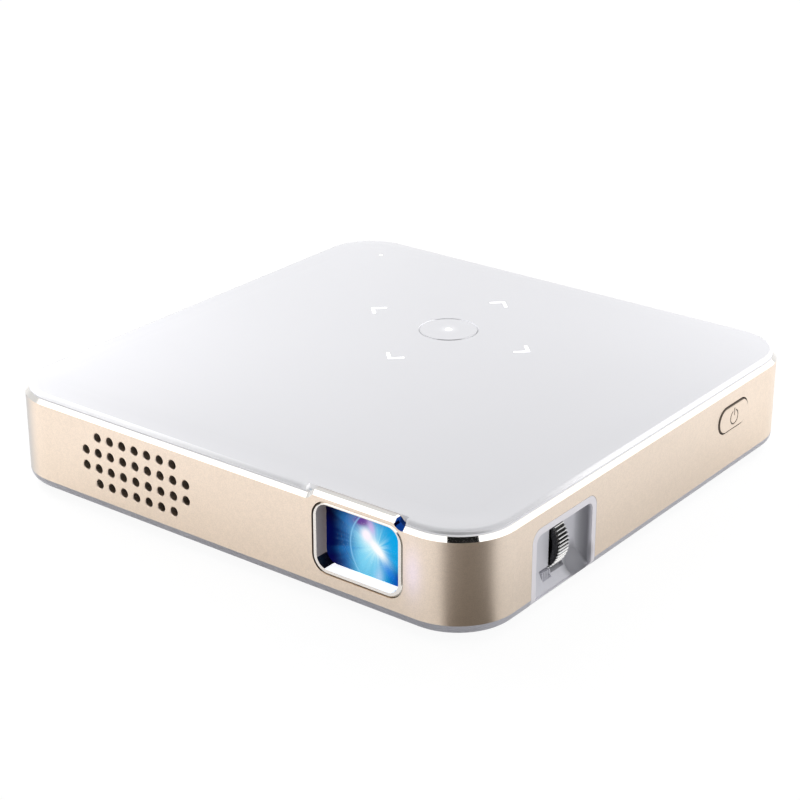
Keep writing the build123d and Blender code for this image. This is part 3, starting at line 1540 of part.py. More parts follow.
touch_board.part.label = "touch_board"
export_step(touch_board.part, "parts/touch_board.step")

flex_middle = (flex_x[0] + flex_x[1]) / 2
with BuildPart() as touch_flex:
    with BuildLine(Plane.YZ.offset(flex_middle)) as flex_path:
        FilletPolyline(
            (flex_y, touch_board_bottom - connector_height / 2),
            (flex_y - 3.4, touch_board_bottom - connector_height / 2),
            (flex_y - 3.4, board_top + connector_height / 2),
            (flex_y, board_top + connector_height / 2),
            radius=flex_bend,
        )
    with BuildSketch(Plane(origin=flex_path.line @ 0, x_dir=(1, 0, 0), z_dir=flex_path.line % 0)):
        Rectangle(flex_width, flex_thickness)
    sweep(path=flex_path.line)
    block(
        (flex_x[0] - connector_lap, flex_x[1] + connector_lap),
        (flex_y, flex_y + connector_length),
        (board_top, board_top + connector_height),
    )
touch_flex.part.label = "touch_flex"
export_step(touch_flex.part, "parts/touch_flex.step")

# ---------------------------------------------------------------- speaker
speaker_low = vent_height - speaker_height / 2
speaker_high = vent_height + speaker_height / 2
cloth_thickness = 0.3
speaker_front = front + band_wall + cloth_thickness
speaker_back = speaker_front + speaker_depth
speaker_corner = 0.8
speaker_opening = 3.2
frame_wall = (1.0, 0.7)
frame_back_thickness = 1.0
cone_radius = 4.4
cone_setback = 1.0
cone_edge = 0.3
cone_depth = 2.2
coil_radius = 1.9
bowl_radius = 3.0
bowl_stands_out = 1.2
magnet_radius = 4.6
magnet_thickness = 2.2
pole_length = 1.0
cone_front = (vent_x, speaker_front + cone_setback, vent_height)

with BuildPart() as speaker_cloth:
    plate_y(
        (vent_x - speaker_width / 2, vent_x + speaker_width / 2),
        (speaker_low, speaker_high),
        (front + band_wall, speaker_front),
        speaker_corner,
    )
speaker_cloth.part.label = "speaker_cloth"
export_step(speaker_cloth.part, "parts/speaker_cloth.step")

with BuildPart() as speaker_frame:
    plate_y(
        (vent_x - speaker_width / 2, vent_x + speaker_width / 2),
        (speaker_low, speaker_high),
        (speaker_front, speaker_back),
        speaker_corner,
    )
    plate_y(
        (vent_x - speaker_width / 2 + frame_wall[0], vent_x + speaker_width / 2 - frame_wall[0]),
        (speaker_low + frame_wall[1], speaker_high - frame_wall[1]),
        (speaker_front - 1, speaker_back - frame_back_thickness),
        speaker_corner,
        mode=Mode.SUBTRACT,
    )
    rod((vent_x, speaker_back - 2, vent_height), speaker_opening, 4, (0, 1, 0), Mode.SUBTRACT)
speaker_frame.part.label = "speaker_frame"
export_step(speaker_frame.part, "parts/speaker_frame.step")

with BuildPart() as speaker_cone:
    with BuildSketch(Plane(origin=cone_front, x_dir=(0, 1, 0), z_dir=(1, 0, 0))):
        with BuildLine():
            Polyline(
                (0, 0),
                (0, cone_radius),
                (cone_edge, cone_radius),
                (cone_depth, coil_radius),
                (cone_depth, 0),
                close=True,
            )
        make_face()
    revolve(axis=Axis(cone_front, (0, 1, 0)))
    # the hollow in front of the voice coil
    with Locations((vent_x, speaker_front - bowl_stands_out, vent_height)):
        Sphere(bowl_radius, mode=Mode.SUBTRACT)
speaker_cone.part.label = "speaker_cone"
export_step(speaker_cone.part, "parts/speaker_cone.step")

with BuildPart() as speaker_magnet:
    rod((vent_x, speaker_back, vent_height), magnet_radius, magnet_thickness, (0, 1, 0))
    rod((vent_x, speaker_back - pole_length, vent_height), speaker_opening, pole_length, (0, 1, 0))
speaker_magnet.part.label = "speaker_magnet"
export_step(speaker_magnet.part, "parts/speaker_magnet.step")

# ---------------------------------------------------------------- leads
wire_radius = 0.5
wire_pitch = 1.6
wire_bend = 1.4
with BuildPart() as wire_leads:
    for shift in (0, wire_pitch):
        lead_y = battery_front + 6 + shift
        tube_along(
            [
                (battery_right, lead_y, battery_bottom + 2.4),
                (board_split + 12.0, lead_y, battery_bottom + 2.4),
                (board_split + 12.0, lead_y, board_top + 2.0),
                (board_split + 7.0, lead_y, board_top + 2.0),
            ],
            wire_radius,
            wire_bend,
        )
        lead_x = vent_x - 9.0 + shift
        tube_along(
            [
                (lead_x, speaker_back, speaker_high - 3.5),
                (lead_x, board_front + 2.5, speaker_high - 3.5),
                (lead_x, board_front + 2.5, board_top),
            ],
            wire_radius,
            wire_bend,
        )
        fan_lead_y = fan_y + shift
        tube_along(
            [
                (fan_right, fan_lead_y, fan_top - 2.0),
                (board_split + 3.6, fan_lead_y, fan_top - 2.0),
                (board_split + 3.6, fan_lead_y, board_top),
            ],
            wire_radius,
            2 * wire_radius,
        )
    block(
        (board_split + 3.0, board_split + 7.0),
        (battery_front + 4.5, battery_front + 9.1),
        (board_top, board_top + 3.0),
    )
wire_leads.part.label = "wire_leads"
export_step(wire_leads.part, "parts/wire_leads.step")

# ---------------------------------------------------------------- power button
flange_thickness = 0.8
cap_round = 0.35
stem_radius = 1.0
sign_radius = 1.4
sign_line = 0.25
sign_opening = 0.95
sign_bar_middle = 1.0
sign_drop = 0.1
sign_depth = 0.12
switch_board_half = 6.0
switch_board_rise = 3.5
switch_half = 2.2
plunger_radius = 1.2
plunger_length = 0.3
bracket_foot = (1.6, 1.5)
bracket_half = 7.0
bracket_thickness = 1.2
cap_face = right + button_stands_out
flange_back = right - band_wall - fit_gap - flange_thickness
stem_length = 1.2
switch_face = flange_back - stem_length - button_travel - insert_gap
switch_thickness = 1.4
switch_board_thickness = 0.8

with BuildPart() as power_button:
    with BuildSketch(Plane.YZ.offset(flange_back)):
        with Locations((button_y, button_z)):
            SlotOverall(button_length, button_height)
    extrude(amount=cap_face - flange_back)
    fillet(power_button.edges().group_by(Axis.X)[-1], cap_round)
    with BuildSketch(Plane.YZ.offset(flange_back)):
        with Locations((button_y, button_z)):
            SlotOverall(button_length + 2 * button_flange, button_height + 2 * button_flange)
    extrude(amount=flange_thickness)
    rod((flange_back - stem_length, button_y, button_z), stem_radius, stem_length, (1, 0, 0))
    # engraved power sign: a ring open at the top, and a bar in the opening
    with BuildSketch(Plane.YZ.offset(cap_face)):
        with Locations((button_y, button_z - sign_drop)):
            Circle(sign_radius)
            Circle(sign_radius - sign_line, mode=Mode.SUBTRACT)
            with Locations((0, sign_radius)):
                Rectangle(sign_opening, sign_radius, mode=Mode.SUBTRACT)
            with Locations((0, sign_bar_middle)):
                Rectangle(sign_line, sign_radius)
    extrude(amount=-sign_depth, mode=Mode.SUBTRACT)
power_button.part.label = "power_button"
export_step(power_button.part, "parts/power_button.step")

with BuildPart() as button_switch:
    block(
        (switch_face - switch_thickness - switch_board_thickness, switch_face - switch_thickness),
        (button_y - switch_board_half, button_y + switch_board_half),
        (floor_top + bracket_foot[1], button_z + switch_board_rise),
    )
    block(
        (switch_face - switch_thickness, switch_face - plunger_length),
        (button_y - switch_half, button_y + switch_half),
        (button_z - switch_half, button_z + switch_half),
    )
    rod((switch_face - plunger_length, button_y, button_z), plunger_radius, plunger_length, (1, 0, 0))
button_switch.part.label = "button_switch"
export_step(button_switch.part, "parts/button_switch.step")

bracket_back = switch_face - switch_thickness - switch_board_thickness
with BuildPart() as switch_bracket:
    bracket_y = (button_y - bracket_half, button_y + bracket_half)
    bracket_front = bracket_back - bracket_thickness
    block((bracket_front, bracket_back), bracket_y, (floor_top, button_z + switch_board_rise))
    foot_x = (bracket_front, bracket_back + bracket_foot[0])
    block(foot_x, bracket_y, (floor_top, floor_top + bracket_foot[1]))
switch_bracket.part.label = "switch_bracket"
export_step(switch_bracket.part, "parts/switch_bracket.step")
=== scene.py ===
import math

import bpy
from mathutils import Matrix, Vector

MM = 0.001

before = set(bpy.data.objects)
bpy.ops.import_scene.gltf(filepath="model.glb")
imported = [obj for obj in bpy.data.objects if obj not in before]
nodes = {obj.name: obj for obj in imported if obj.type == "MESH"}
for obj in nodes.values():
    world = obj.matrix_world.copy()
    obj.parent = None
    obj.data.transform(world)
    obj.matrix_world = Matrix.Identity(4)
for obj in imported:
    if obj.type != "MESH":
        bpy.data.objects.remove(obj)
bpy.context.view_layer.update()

scene = bpy.context.scene
scene.view_settings.view_transform = "Standard"


# ---------------------------------------------------------------- camera
AZIMUTH, ELEVATION = math.radians(37.475), math.radians(23.474)
DISTANCE = 360.918 * MM
AIM = Vector((0, 0, 10.8)) * MM
SHIFT_RIGHT, SHIFT_UP = -1.39 * MM, 0.415 * MM
SENSOR_WIDTH, FOCAL_LENGTH = 36.0, 91.79
CLIP_NEAR, CLIP_FAR = 0.01, 20.0

back = Vector(
    (
        math.sin(AZIMUTH) * math.cos(ELEVATION),
        -math.cos(AZIMUTH) * math.cos(ELEVATION),
        math.sin(ELEVATION),
    )
)
right = Vector((math.cos(AZIMUTH), math.sin(AZIMUTH), 0))
up = back.cross(right)
lens = bpy.data.cameras.new("camera")
lens.sensor_width = SENSOR_WIDTH
lens.lens = FOCAL_LENGTH
lens.clip_start, lens.clip_end = CLIP_NEAR, CLIP_FAR
camera = bpy.data.objects.new("camera", lens)
turn = Matrix((right, up, back)).transposed().to_4x4()
place = AIM + back * DISTANCE + right * SHIFT_RIGHT + up * SHIFT_UP
camera.matrix_world = Matrix.Translation(place) @ turn
scene.collection.objects.link(camera)
scene.camera = camera


# ---------------------------------------------------------------- node helpers
MM_PER_METRE = 1000.0
# places of the colour inputs and the colour result of a mix node
MIX_FIRST, MIX_SECOND, MIX_RESULT = 6, 7, 2
# nearly all values of a noise lie between these
NOISE_LOW, NOISE_HIGH = 0.2, 0.8


def linear(colour):
    """A colour given as 0-255 screen values, as the shaders take it."""
    values = [c / 255 for c in colour]
    return tuple(v / 12.92 if v <= 0.04045 else ((v + 0.055) / 1.055) ** 2.4 for v in values)


def scaled(colour, factor):
    return tuple(c * factor for c in colour)


class Field:
    """A number worked out by shader nodes at each point, with the usual arithmetic."""

    def __init__(self, tree, socket):
        self.tree = tree
        self.socket = socket

    def math(self, operation, *others):
        node = self.tree.nodes.new("ShaderNodeMath")
        node.operation = operation
        for slot, value in zip(node.inputs, (self, *others)):
            if isinstance(value, Field):
                self.tree.links.new(value.socket, slot)
            else:
                slot.default_value = value
        return Field(self.tree, node.outputs[0])

    def __add__(self, other):
        return self.math("ADD", other)

    def __sub__(self, other):
        return self.math("SUBTRACT", other)

    def __mul__(self, other):
        return self.math("MULTIPLY", other)

    def __truediv__(self, other):
        return self.math("DIVIDE", other)

    def __neg__(self):
        return self.math("MULTIPLY", -1.0)

    def bell(self):
        """exp(-x)"""
        return (-self).math("EXPONENT")

    def peak(self, width):
        """1 where the number is 0, falling off on both sides over a width."""
        return (self / width).math("POWER", 2.0).bell()

    def ramp(self, start, end, low=0.0, high=1.0):
        """Goes smoothly from low, at start, to high, at end."""
        node = self.tree.nodes.new("ShaderNodeMapRange")
        node.interpolation_type = "SMOOTHSTEP"
        self.tree.links.new(self.socket, node.inputs["Value"])
        names = ("From Min", "From Max", "To Min", "To Max")
        for name, value in zip(names, (start, end, low, high)):
            node.inputs[name].default_value = value
        return Field(self.tree, node.outputs[0])


def squares(*parts):
    """The sum of the squares of fields."""
    total = parts[0] * parts[0]
    for part in parts[1:]:
        total = total + part * part
    return total


def length(*parts):
    """The length of a vector whose parts are fields."""
    return squares(*parts).math("SQRT")


def towards_near_corner(x, y):
    """How far the vector x, y goes in the direction of the object's near corner."""
    return x * 0.61 - y * 0.79


class Paint:
    """A material in the making: its Principled shader, and fields in the object's own frame."""

    def __init__(self, name, **constants):
        self.material = bpy.data.materials.new(name)
        self.material.use_nodes = True
        self.tree = self.material.node_tree
        self.shader = self.tree.nodes["Principled BSDF"]
        self.place = self.tree.nodes.new("ShaderNodeTexCoord").outputs["Object"]
        for socket, value in constants.items():
            self.shader.inputs[socket.replace("_", " ")].default_value = value

    def parts_of(self, vector):
        node = self.tree.nodes.new("ShaderNodeSeparateXYZ")
        self.tree.links.new(vector, node.inputs[0])
        return [Field(self.tree, out) for out in node.outputs]

    def axes(self):
        """The point's x, y and z in millimetres."""
        return [part * MM_PER_METRE for part in self.parts_of(self.place)]

    def normal(self):
        return self.parts_of(self.tree.nodes.new("ShaderNodeNewGeometry").outputs["Normal"])

    def noise(self, size, detail=2.0, stretch=(1, 1, 1)):
        """Noise whose cells are about size millimetres across."""
        mapping = self.tree.nodes.new("ShaderNodeMapping")
        mapping.inputs["Scale"].default_value = [s / (size * MM) for s in stretch]
        self.tree.links.new(self.place, mapping.inputs["Vector"])
        node = self.tree.nodes.new("ShaderNodeTexNoise")
        node.inputs["Scale"].default_value = 1.0
        node.inputs["Detail"].default_value = detail
        self.tree.links.new(mapping.outputs[0], node.inputs["Vector"])
        return Field(self.tree, node.outputs[0])

    def blend(self, factor, first, second):
        """The colour first where factor is 0 and second where it is 1. Either may be a socket."""
        node = self.tree.nodes.new("ShaderNodeMix")
        node.data_type = "RGBA"
        self.tree.links.new(factor.socket, node.inputs["Factor"])
        for slot, colour in ((MIX_FIRST, first), (MIX_SECOND, second)):
            if isinstance(colour, bpy.types.NodeSocket):
                self.tree.links.new(colour, node.inputs[slot])
            else:
                node.inputs[slot].default_value = (*colour, 1.0)
        return node.outputs[MIX_RESULT]

    def times(self, first, second):
        """The product of two colour sockets."""
        node = self.tree.nodes.new("ShaderNodeMix")
        node.data_type = "RGBA"
        node.blend_type = "MULTIPLY"
        node.inputs["Factor"].default_value = 1.0
        self.tree.links.new(first, node.inputs[MIX_FIRST])
        self.tree.links.new(second, node.inputs[MIX_SECOND])
        return node.outputs[MIX_RESULT]

    def colour(self, source):
        self.tree.links.new(source, self.shader.inputs["Base Color"])

    def glow(self, source, strength=1.0):
        self.tree.links.new(source, self.shader.inputs["Emission Color"])
        self.shader.inputs["Emission Strength"].default_value = strength

    def rough(self, grain, low, high):
        """Roughness from low to high, by a noise."""
        field = grain.ramp(NOISE_LOW, NOISE_HIGH, low, high)
        self.tree.links.new(field.socket, self.shader.inputs["Roughness"])

    def bump(self, height, depth):
        """Bumps of a depth given in millimetres."""
        node = self.tree.nodes.new("ShaderNodeBump")
        node.inputs["Distance"].default_value = depth * MM
        self.tree.links.new(height.socket, node.inputs["Height"])
        self.tree.links.new(node.outputs[0], self.shader.inputs["Normal"])


# ---------------------------------------------------------------- places, in millimetres
# the middle of the window
WINDOW = (28.3, -47.8, 11.25)
# the window's painted light pattern: how far it moves along x and z for each millimetre of depth,
# the middle of its star, and the middle and radius of its ring, from the window's middle
PATTERN_SLANT = (-0.797, -0.666)
STAR = (2.3, 0.2)
RING, RING_RADIUS, RING_WIDTH = (4.2, -0.35), 7.1, 0.13
# middle, half width and half height of the painted glow of the lens's light spilt on the band,
# along x and z
SPILL, SPILL_SIZE = (38.9, 10.8), (1.6, 4.0)
# height of the band's top and foot
BAND_TOP, BAND_FOOT = 17.0, 2.5
# ends of the slope right of the window, along x, how soft they are, and its start, along y
SLOPE, SLOPE_SOFT, SLOPE_FRONT = (35.45, 37.05), 0.05, (-48.0, -48.2)
# height at which the cover's top begins, and where its rounded corners start, along x and y
COVER_TOP, CORNER_START = (17.0, 17.5), 39.5
# ends, along x, of the notch in the cover's edge under the raised part of the band
NOTCH_LEFT, NOTCH_RIGHT = (15.0, 18.0), (38.0, 36.5)
# middle of the touch ring, along x and y, the radius and half width of its groove, and of its halo
TOUCH, TOUCH_RADIUS, TOUCH_GROOVE, HALO_RADIUS = (-2.9, 16.0), 5.33, 0.16, 1.1
# the right side of the band, and the middle of the finger hollow in the focus recess
RIGHT_SIDE = 50.0
HOLLOW = (50.1, -20.8, 4.4)
# axis of the focus wheel, along x and z, and its radius
WHEEL, WHEEL_RADIUS = (44.12, 8.4), 5.38


# ---------------------------------------------------------------- materials
def finish(name, colour, roughness, grain=0.25, relief=0.01, **constants):
    """A moulded, cast or coated finish: fine grain, soft patches of tone and a little relief."""
    patch, tint, swing = 9.0, 0.06, 0.06
    paint = Paint(name, **constants)
    fine = paint.noise(grain)
    broad = paint.noise(patch)
    mixed = fine * 0.6 + broad * 0.4
    darker, lighter = scaled(colour, 1 - tint), scaled(colour, 1 + tint)
    paint.colour(paint.blend(mixed.ramp(0.25, 0.75), darker, lighter))
    paint.rough(fine, roughness - swing, roughness + swing)
    paint.bump(fine, relief)
    return paint.material


def band_gold():
    """Bead-blasted champagne anodising, with painted shade towards its foot, on its right side and
    at the front's left end, and a painted glow of the lens's light beside the window.
    """
    tone = linear((244, 227, 210))
    # tones of the painted shade at the band's top, foot, front and right side
    top_shade, foot_shade = (0.96, 0.96, 0.96), (0.86, 0.855, 0.84)
    front_shade, side_shade = (1.0, 1.0, 1.0), (0.92, 0.935, 0.95)
    paint = Paint("band_gold", Metallic=1.0)
    sparkle = paint.noise(0.16, detail=1.0)
    clouds = paint.noise(0.7, detail=3.0)
    mixed = sparkle * 0.7 + clouds * 0.3
    x, y, z = paint.axes()
    nx, ny, _ = paint.normal()
    gold = paint.blend(mixed.ramp(0.3, 0.7), scaled(tone, 0.93), scaled(tone, 1.05))
    # painted shade: the foot of the band is a little darker than its top, and the right side than
    # the front
    low = paint.blend(z.ramp(BAND_TOP, BAND_FOOT), top_shade, foot_shade)
    to_the_right = nx.ramp(0.5, 1.0) * y.ramp(45.0, 5.0, 0.3, 1.0)
    side = paint.blend(to_the_right, front_shade, side_shade)
    gold = paint.times(paint.times(gold, low), side)
    # painted shade: the front's left end is greyer where it turns round the corner
    left_end_shade = nx.ramp(-0.12, -0.62) * y.ramp(-38.0, -42.0)
    paint.colour(paint.blend(left_end_shade, gold, linear((182, 179, 177))))
    # painted glow standing for the lens's light spilt beside the window
    across, along = (x - SPILL[0]) / SPILL_SIZE[0], (z - SPILL[1]) / SPILL_SIZE[1]
    painted_spill = squares(across, along).bell() * ny.ramp(-0.8, -0.95)
    paint.glow(paint.blend(painted_spill, (0, 0, 0), (0.1, 0.1, 0.24)))
    paint.rough(sparkle, 0.36, 0.46)
    paint.bump(sparkle, 0.006)
    return paint.material


def polished(name, colour, roughness, painted_slope_glint=None):
    """Diamond-cut or polished metal, with faint tool marks. The slope right of the window can
    have a painted blue glint of its own, a painted reflection."""
    paint = Paint(name, Metallic=1.0)
    marks = paint.noise(0.5, detail=3.0, stretch=(1, 1, 6))
    metal = paint.blend(marks.ramp(0.3, 0.7), scaled(colour, 0.985), colour)
    if painted_slope_glint:
        x, y, _ = paint.axes()
        after_start = x.ramp(SLOPE[0] - SLOPE_SOFT, SLOPE[0] + SLOPE_SOFT)
        before_end = x.ramp(SLOPE[1] + SLOPE_SOFT, SLOPE[1] - SLOPE_SOFT)
        slope = after_start * before_end * y.ramp(*SLOPE_FRONT)
        metal = paint.blend(slope, metal, painted_slope_glint)
    paint.colour(metal)
    paint.rough(marks, roughness * 0.7, roughness * 1.3)
    paint.bump(marks, 0.0006)
    return paint.material


def cover_white():
    """Gloss white plastic with a faint orange peel, painted shade on its rounded edge and in the
    touch ring's groove, and a painted glow along its edges and round the touch ring.
    """
    tone = linear((235, 235, 239))
    # tones of painted shade: the rounded edge near the corner and along the far sides, and the
    # touch ring's groove
    near_edge_shade, far_edge_shade, groove_shade_grey = 0.68, 0.74, linear((118, 118, 122))
    painted_edge_glow = (0.42, 0.42, 0.42)
    paint = Paint("cover_white", IOR=1.5)
    broad = paint.noise(25.0)
    fine = paint.noise(1.5)
    nx, ny, _ = paint.normal()
    x, y, z = paint.axes()
    white = paint.blend(broad, scaled(tone, 0.99), scaled(tone, 1.01))
    # painted shade: the rounded edge is darker where it faces the near corner, and along the two
    # far sides
    facing = towards_near_corner(nx, ny)
    white = paint.blend(facing.ramp(0.82, 0.98), white, scaled(tone, near_edge_shade))
    past_y = (y - CORNER_START).math("MAXIMUM", 0.0)
    past_x = (-x - CORNER_START).math("MAXIMUM", 0.0)
    far_edge = length(past_x, past_y).ramp(8.9, 9.6)
    white = paint.blend(far_edge, white, scaled(tone, far_edge_shade))
    # painted shade: the groove of the touch ring is dark on the near side
    tx, ty = x - TOUCH[0], y - TOUCH[1]
    reach = length(tx, ty)
    near_side = towards_near_corner(tx, ty).ramp(-2.5, 3.5)
    groove = (reach - TOUCH_RADIUS).peak(TOUCH_GROOVE) * near_side * z.ramp(*COVER_TOP)
    paint.colour(paint.blend(groove, white, groove_shade_grey))
    # painted glow standing for the light caught by the edge along the front, most at its left end,
    # and along the right side
    notch = x.ramp(*NOTCH_LEFT) * x.ramp(*NOTCH_RIGHT) * 0.5
    front_edge_glow = ny.ramp(-0.05, -0.6) * x.ramp(36.0, -46.0, 0.1, 1.3).math("MAXIMUM", notch)
    notch_side_glow = nx.ramp(0.1, 0.8) * y.ramp(-46.0, -48.0) * x.ramp(24.0, 20.0)
    front_edge_glow = front_edge_glow * facing.ramp(0.97, 0.84) + notch_side_glow
    side_edge_glow = nx.ramp(0.1, 0.8) * y.ramp(-38.0, -10.0) * facing.ramp(0.97, 0.75)
    # and a painted glow for the halo of the light at the middle of the touch ring
    halo = reach.peak(HALO_RADIUS) * z.ramp(*COVER_TOP) * 0.4
    paint.glow(paint.blend(front_edge_glow + side_edge_glow + halo, (0, 0, 0), painted_edge_glow))
    paint.rough(fine, 0.14, 0.18)
    paint.bump(fine, 0.0008)
    return paint.material


def insert_grey():
    """Satin plastic of the focus recess, with painted shade in its right corner and in the finger
    hollow, and a painted highlight on its rim."""
    tone, rim_highlight = linear((220, 220, 227)), linear((246, 243, 249))
    shade_grey = linear((112, 112, 118))
    paint = Paint("insert_grey")
    fine = paint.noise(0.25)
    x, y, z = paint.axes()
    grey = paint.blend(fine, scaled(tone, 0.97), scaled(tone, 1.02))
    depth = -x + RIGHT_SIDE
    # painted highlight on the rim
    rim = depth.ramp(0.5, 0.1) * z.ramp(1.9, 2.6)
    grey = paint.blend(rim, grey, rim_highlight)
    # painted shade by the right wall and in the finger hollow
    wall = y.ramp(-20.0, -18.0) * depth.ramp(0.25, 0.9) * z.ramp(14.0, 11.5, 0.6, 1.0)
    hollow = length(x - HOLLOW[0], y - HOLLOW[1], z - HOLLOW[2]).ramp(4.1, 1.9)
    shade = (wall * 0.75).math("MAXIMUM", hollow * 0.95)
    paint.colour(paint.blend(shade, grey, shade_grey))
    paint.rough(fine, 0.36, 0.46)
    paint.bump(fine, 0.004)
    return paint.material


def wheel_metal():
    """Bright metal, with painted shade between the teeth and on the flat sides."""
    paint = Paint("wheel_metal", Metallic=1.0)
    marks = paint.noise(0.4, detail=3.0, stretch=(1, 6, 1))
    x, _, z = paint.axes()
    _, ny, _ = paint.normal()
    reach = length(x - WHEEL[0], z - WHEEL[1]) - WHEEL_RADIUS
    bright = paint.blend(marks.ramp(0.3, 0.7), (0.78, 0.78, 0.79), (0.9, 0.9, 0.9))
    # painted shade on the flat sides and towards the roots of the teeth
    dark = ny.math("ABSOLUTE").ramp(0.5, 0.9).math("MAXIMUM", reach.ramp(-0.08, -0.32))
    paint.colour(paint.blend(dark, bright, (0.05, 0.05, 0.052)))
    paint.rough(marks, 0.2, 0.32)
    paint.bump(marks, 0.0008)
    return paint.material


def lit_plastic(name, roughness, grain, colours, lights, strength):
    """Pale plastic that glows: lit from inside for the touch icons and the status light, and a
    painted glow of the lens's light caught by the window's lower wall.
    """
    paint = Paint(name, Roughness=roughness)
    fine = paint.noise(grain)
    paint.colour(paint.blend(fine, *colours))
    paint.glow(paint.blend(fine, *lights), strength)
    return paint.material


def clear_glass(name, tint, ior):
    paint = Paint(name, Roughness=0.0, IOR=ior, Transmission_Weight=1.0)
    broad = paint.noise(6.0)
    paint.colour(paint.blend(broad, scaled(tint, 0.98), tint))
    return paint.material


# soft oval spots of the window's painted light pattern, from the window's middle:
# middle along x and z, turn in degrees, long and wide radius, strength, colour
PATTERN_SPOTS = (
    (-7.6, 4.6, 0, 2.9, 2.5, 1.1, (6, 3, 14)),
    (-6.4, -4.9, 0, 3.4, 1.4, 0.6, (24, 10, 74)),
    (-7.2, -2.4, 90, 3.2, 1.7, 0.85, (2, 8, 66)),
    (6.4, -4.5, 35, 1.8, 2.1, 1.1, (14, 56, 144)),
    (4.6, -3.3, -42, 2.4, 0.75, 0.75, (16, 122, 224)),
    (0.6, -1.9, 70, 2.8, 1.8, 0.6, (140, 222, 250)),
    (1.0, 0.2, -35, 2.7, 1.6, 0.95, (196, 242, 252)),
    (2.6, -5.0, 80, 2.0, 0.8, 0.8, (176, 208, 242)),
    (-5.0, 5.6, 0, 3.6, 1.3, 1.0, (12, 20, 74)),
    (2.9, 4.6, 0, 1.6, 0.9, 0.7, (60, 143, 205)),
)
VIOLET_SPOTS = (
    (-0.6, 3.9, 12, 1.8, 1.0, 1.3, (104, 66, 150)),
    (1.2, 3.3, 110, 1.3, 0.7, 0.85, (214, 178, 232)),
)


def painted_lens_glow(name):
    """A painted glow that stands for the lit lens seen through the window: a white star, cyan
    towards the right, navy at the left, with rays. The pattern runs straight back along one
    slanted direction, so that it meets over the pieces at all depths."""
    paint = Paint(name, Roughness=0.5, Specular_IOR_Level=0.0)
    x, y, z = paint.axes()
    depth = y - WINDOW[1]
    u = x - depth * PATTERN_SLANT[0] - WINDOW[0]
    v = z - depth * PATTERN_SLANT[1] - WINDOW[2]
    su, sv = u - STAR[0], v - STAR[1]
    reach = length(su, sv)
    angle = sv.math("ARCTAN2", su)

    def streaks(scale, seed):
        """Noise that changes with the angle round the star only."""
        node = paint.tree.nodes.new("ShaderNodeTexNoise")
        node.noise_dimensions = "2D"
        node.inputs["Scale"].default_value = 1.0
        node.inputs["Detail"].default_value = 2.0
        point = paint.tree.nodes.new("ShaderNodeCombineXYZ")
        around = (angle.math("COSINE") * scale + seed, angle.math("SINE") * scale)
        for slot, value in zip(point.inputs, around):
            paint.tree.links.new(value.socket, slot)
        paint.tree.links.new(point.outputs[0], node.inputs["Vector"])
        return Field(paint.tree, node.outputs[0])

    def spot(cu, cv, turn, long, wide):
        """1 at the middle of a soft oval spot."""
        c, s = math.cos(math.radians(turn)), math.sin(math.radians(turn))
        pu, pv = u - cu, v - cv
        return squares((pu * c + pv * s) / long, (pv * c - pu * s) / wide).bell()

    def spotted(base, spots):
        for *form, strength, colour in spots:
            base = paint.blend(spot(*form) * strength, base, linear(colour))
        return base

    # the ground, from left to right
    base = paint.blend(u.ramp(-6.7, -3.0), linear((4, 8, 66)), linear((46, 112, 180)))
    base = paint.blend(u.ramp(-4.1, -0.3), base, linear((108, 202, 240)))
    base = paint.blend(u.ramp(1.8, 4.8), base, linear((12, 168, 232)))
    # rays, which fade into the light part
    rays, thin = streaks(3.0, 5.0), streaks(8.0, 40.0)
    dark_ray = rays.ramp(0.58, 0.42) * thin.ramp(0.3, 0.6, 0.5, 1.0)
    dark_ray = dark_ray * u.ramp(-6.5, -1.5, 0.95, 0.12)
    base = paint.blend(dark_ray, base, linear((2, 10, 72)))
    light_ray = rays.ramp(0.52, 0.68) * u.ramp(-7.5, -3.0, 0.15, 0.5)
    light_ray = light_ray * u.ramp(-1.0, 1.0, 1.0, 0.2)
    base = paint.blend(light_ray, base, linear((30, 124, 196)))
    base = spotted(base, PATTERN_SPOTS)
    # painted fine glints round the star
    glint = streaks(5.0, 90.0).ramp(0.45, 0.62) * reach.peak(2.6) * u.ramp(5.6, 3.4)
    base = paint.blend(glint * 0.5, base, linear((205, 250, 255)))
    base = spotted(base, VIOLET_SPOTS)
    # a thin ring, whose left part shows
    ring = length(u - RING[0], v - RING[1]) - RING_RADIUS
    arc = ring.peak(RING_WIDTH) * u.ramp(0.6, -1.6)
    base = paint.blend(arc * 0.6, base, linear((150, 214, 250)))
    # the star's white core and its upper lobe
    core = spot(2.3, 0.0, -40, 2.0, 0.72)
    base = paint.blend((core * 1.6).math("MINIMUM", 1.0), base, (1.0, 1.0, 1.0))
    lobe = spot(0.3, 1.75, -55, 1.1, 0.95)
    base = paint.blend((lobe * 1.4).math("MINIMUM", 1.0), base, linear((255, 246, 255)))
    paint.shader.inputs["Base Color"].default_value = (0.002, 0.002, 0.006, 1)
    paint.glow(base)
    return paint.material


black_plastic = finish("black_plastic", (0.018, 0.018, 0.02), 0.5)
steel = finish("steel", (0.56, 0.56, 0.57), 0.3, Metallic=1.0)
copper = finish("copper", (0.78, 0.42, 0.28), 0.3, Metallic=1.0)
board_green = finish("board_green", (0.015, 0.12, 0.06), 0.35, grain=0.4)
nylon = finish("gear_nylon", (0.80, 0.79, 0.74), 0.45)
optical = clear_glass("lens_glass", (0.75, 0.86, 1.0), 1.5)
gold = band_gold()
# the chamfer's polish, with a painted blue glint on the slope right of the window
polish_gold = polished("polished_edge", (1.0, 0.975, 0.94), 0.06, linear((11, 50, 118)))
lens_painted_glow = painted_lens_glow("painted_lens_glow")
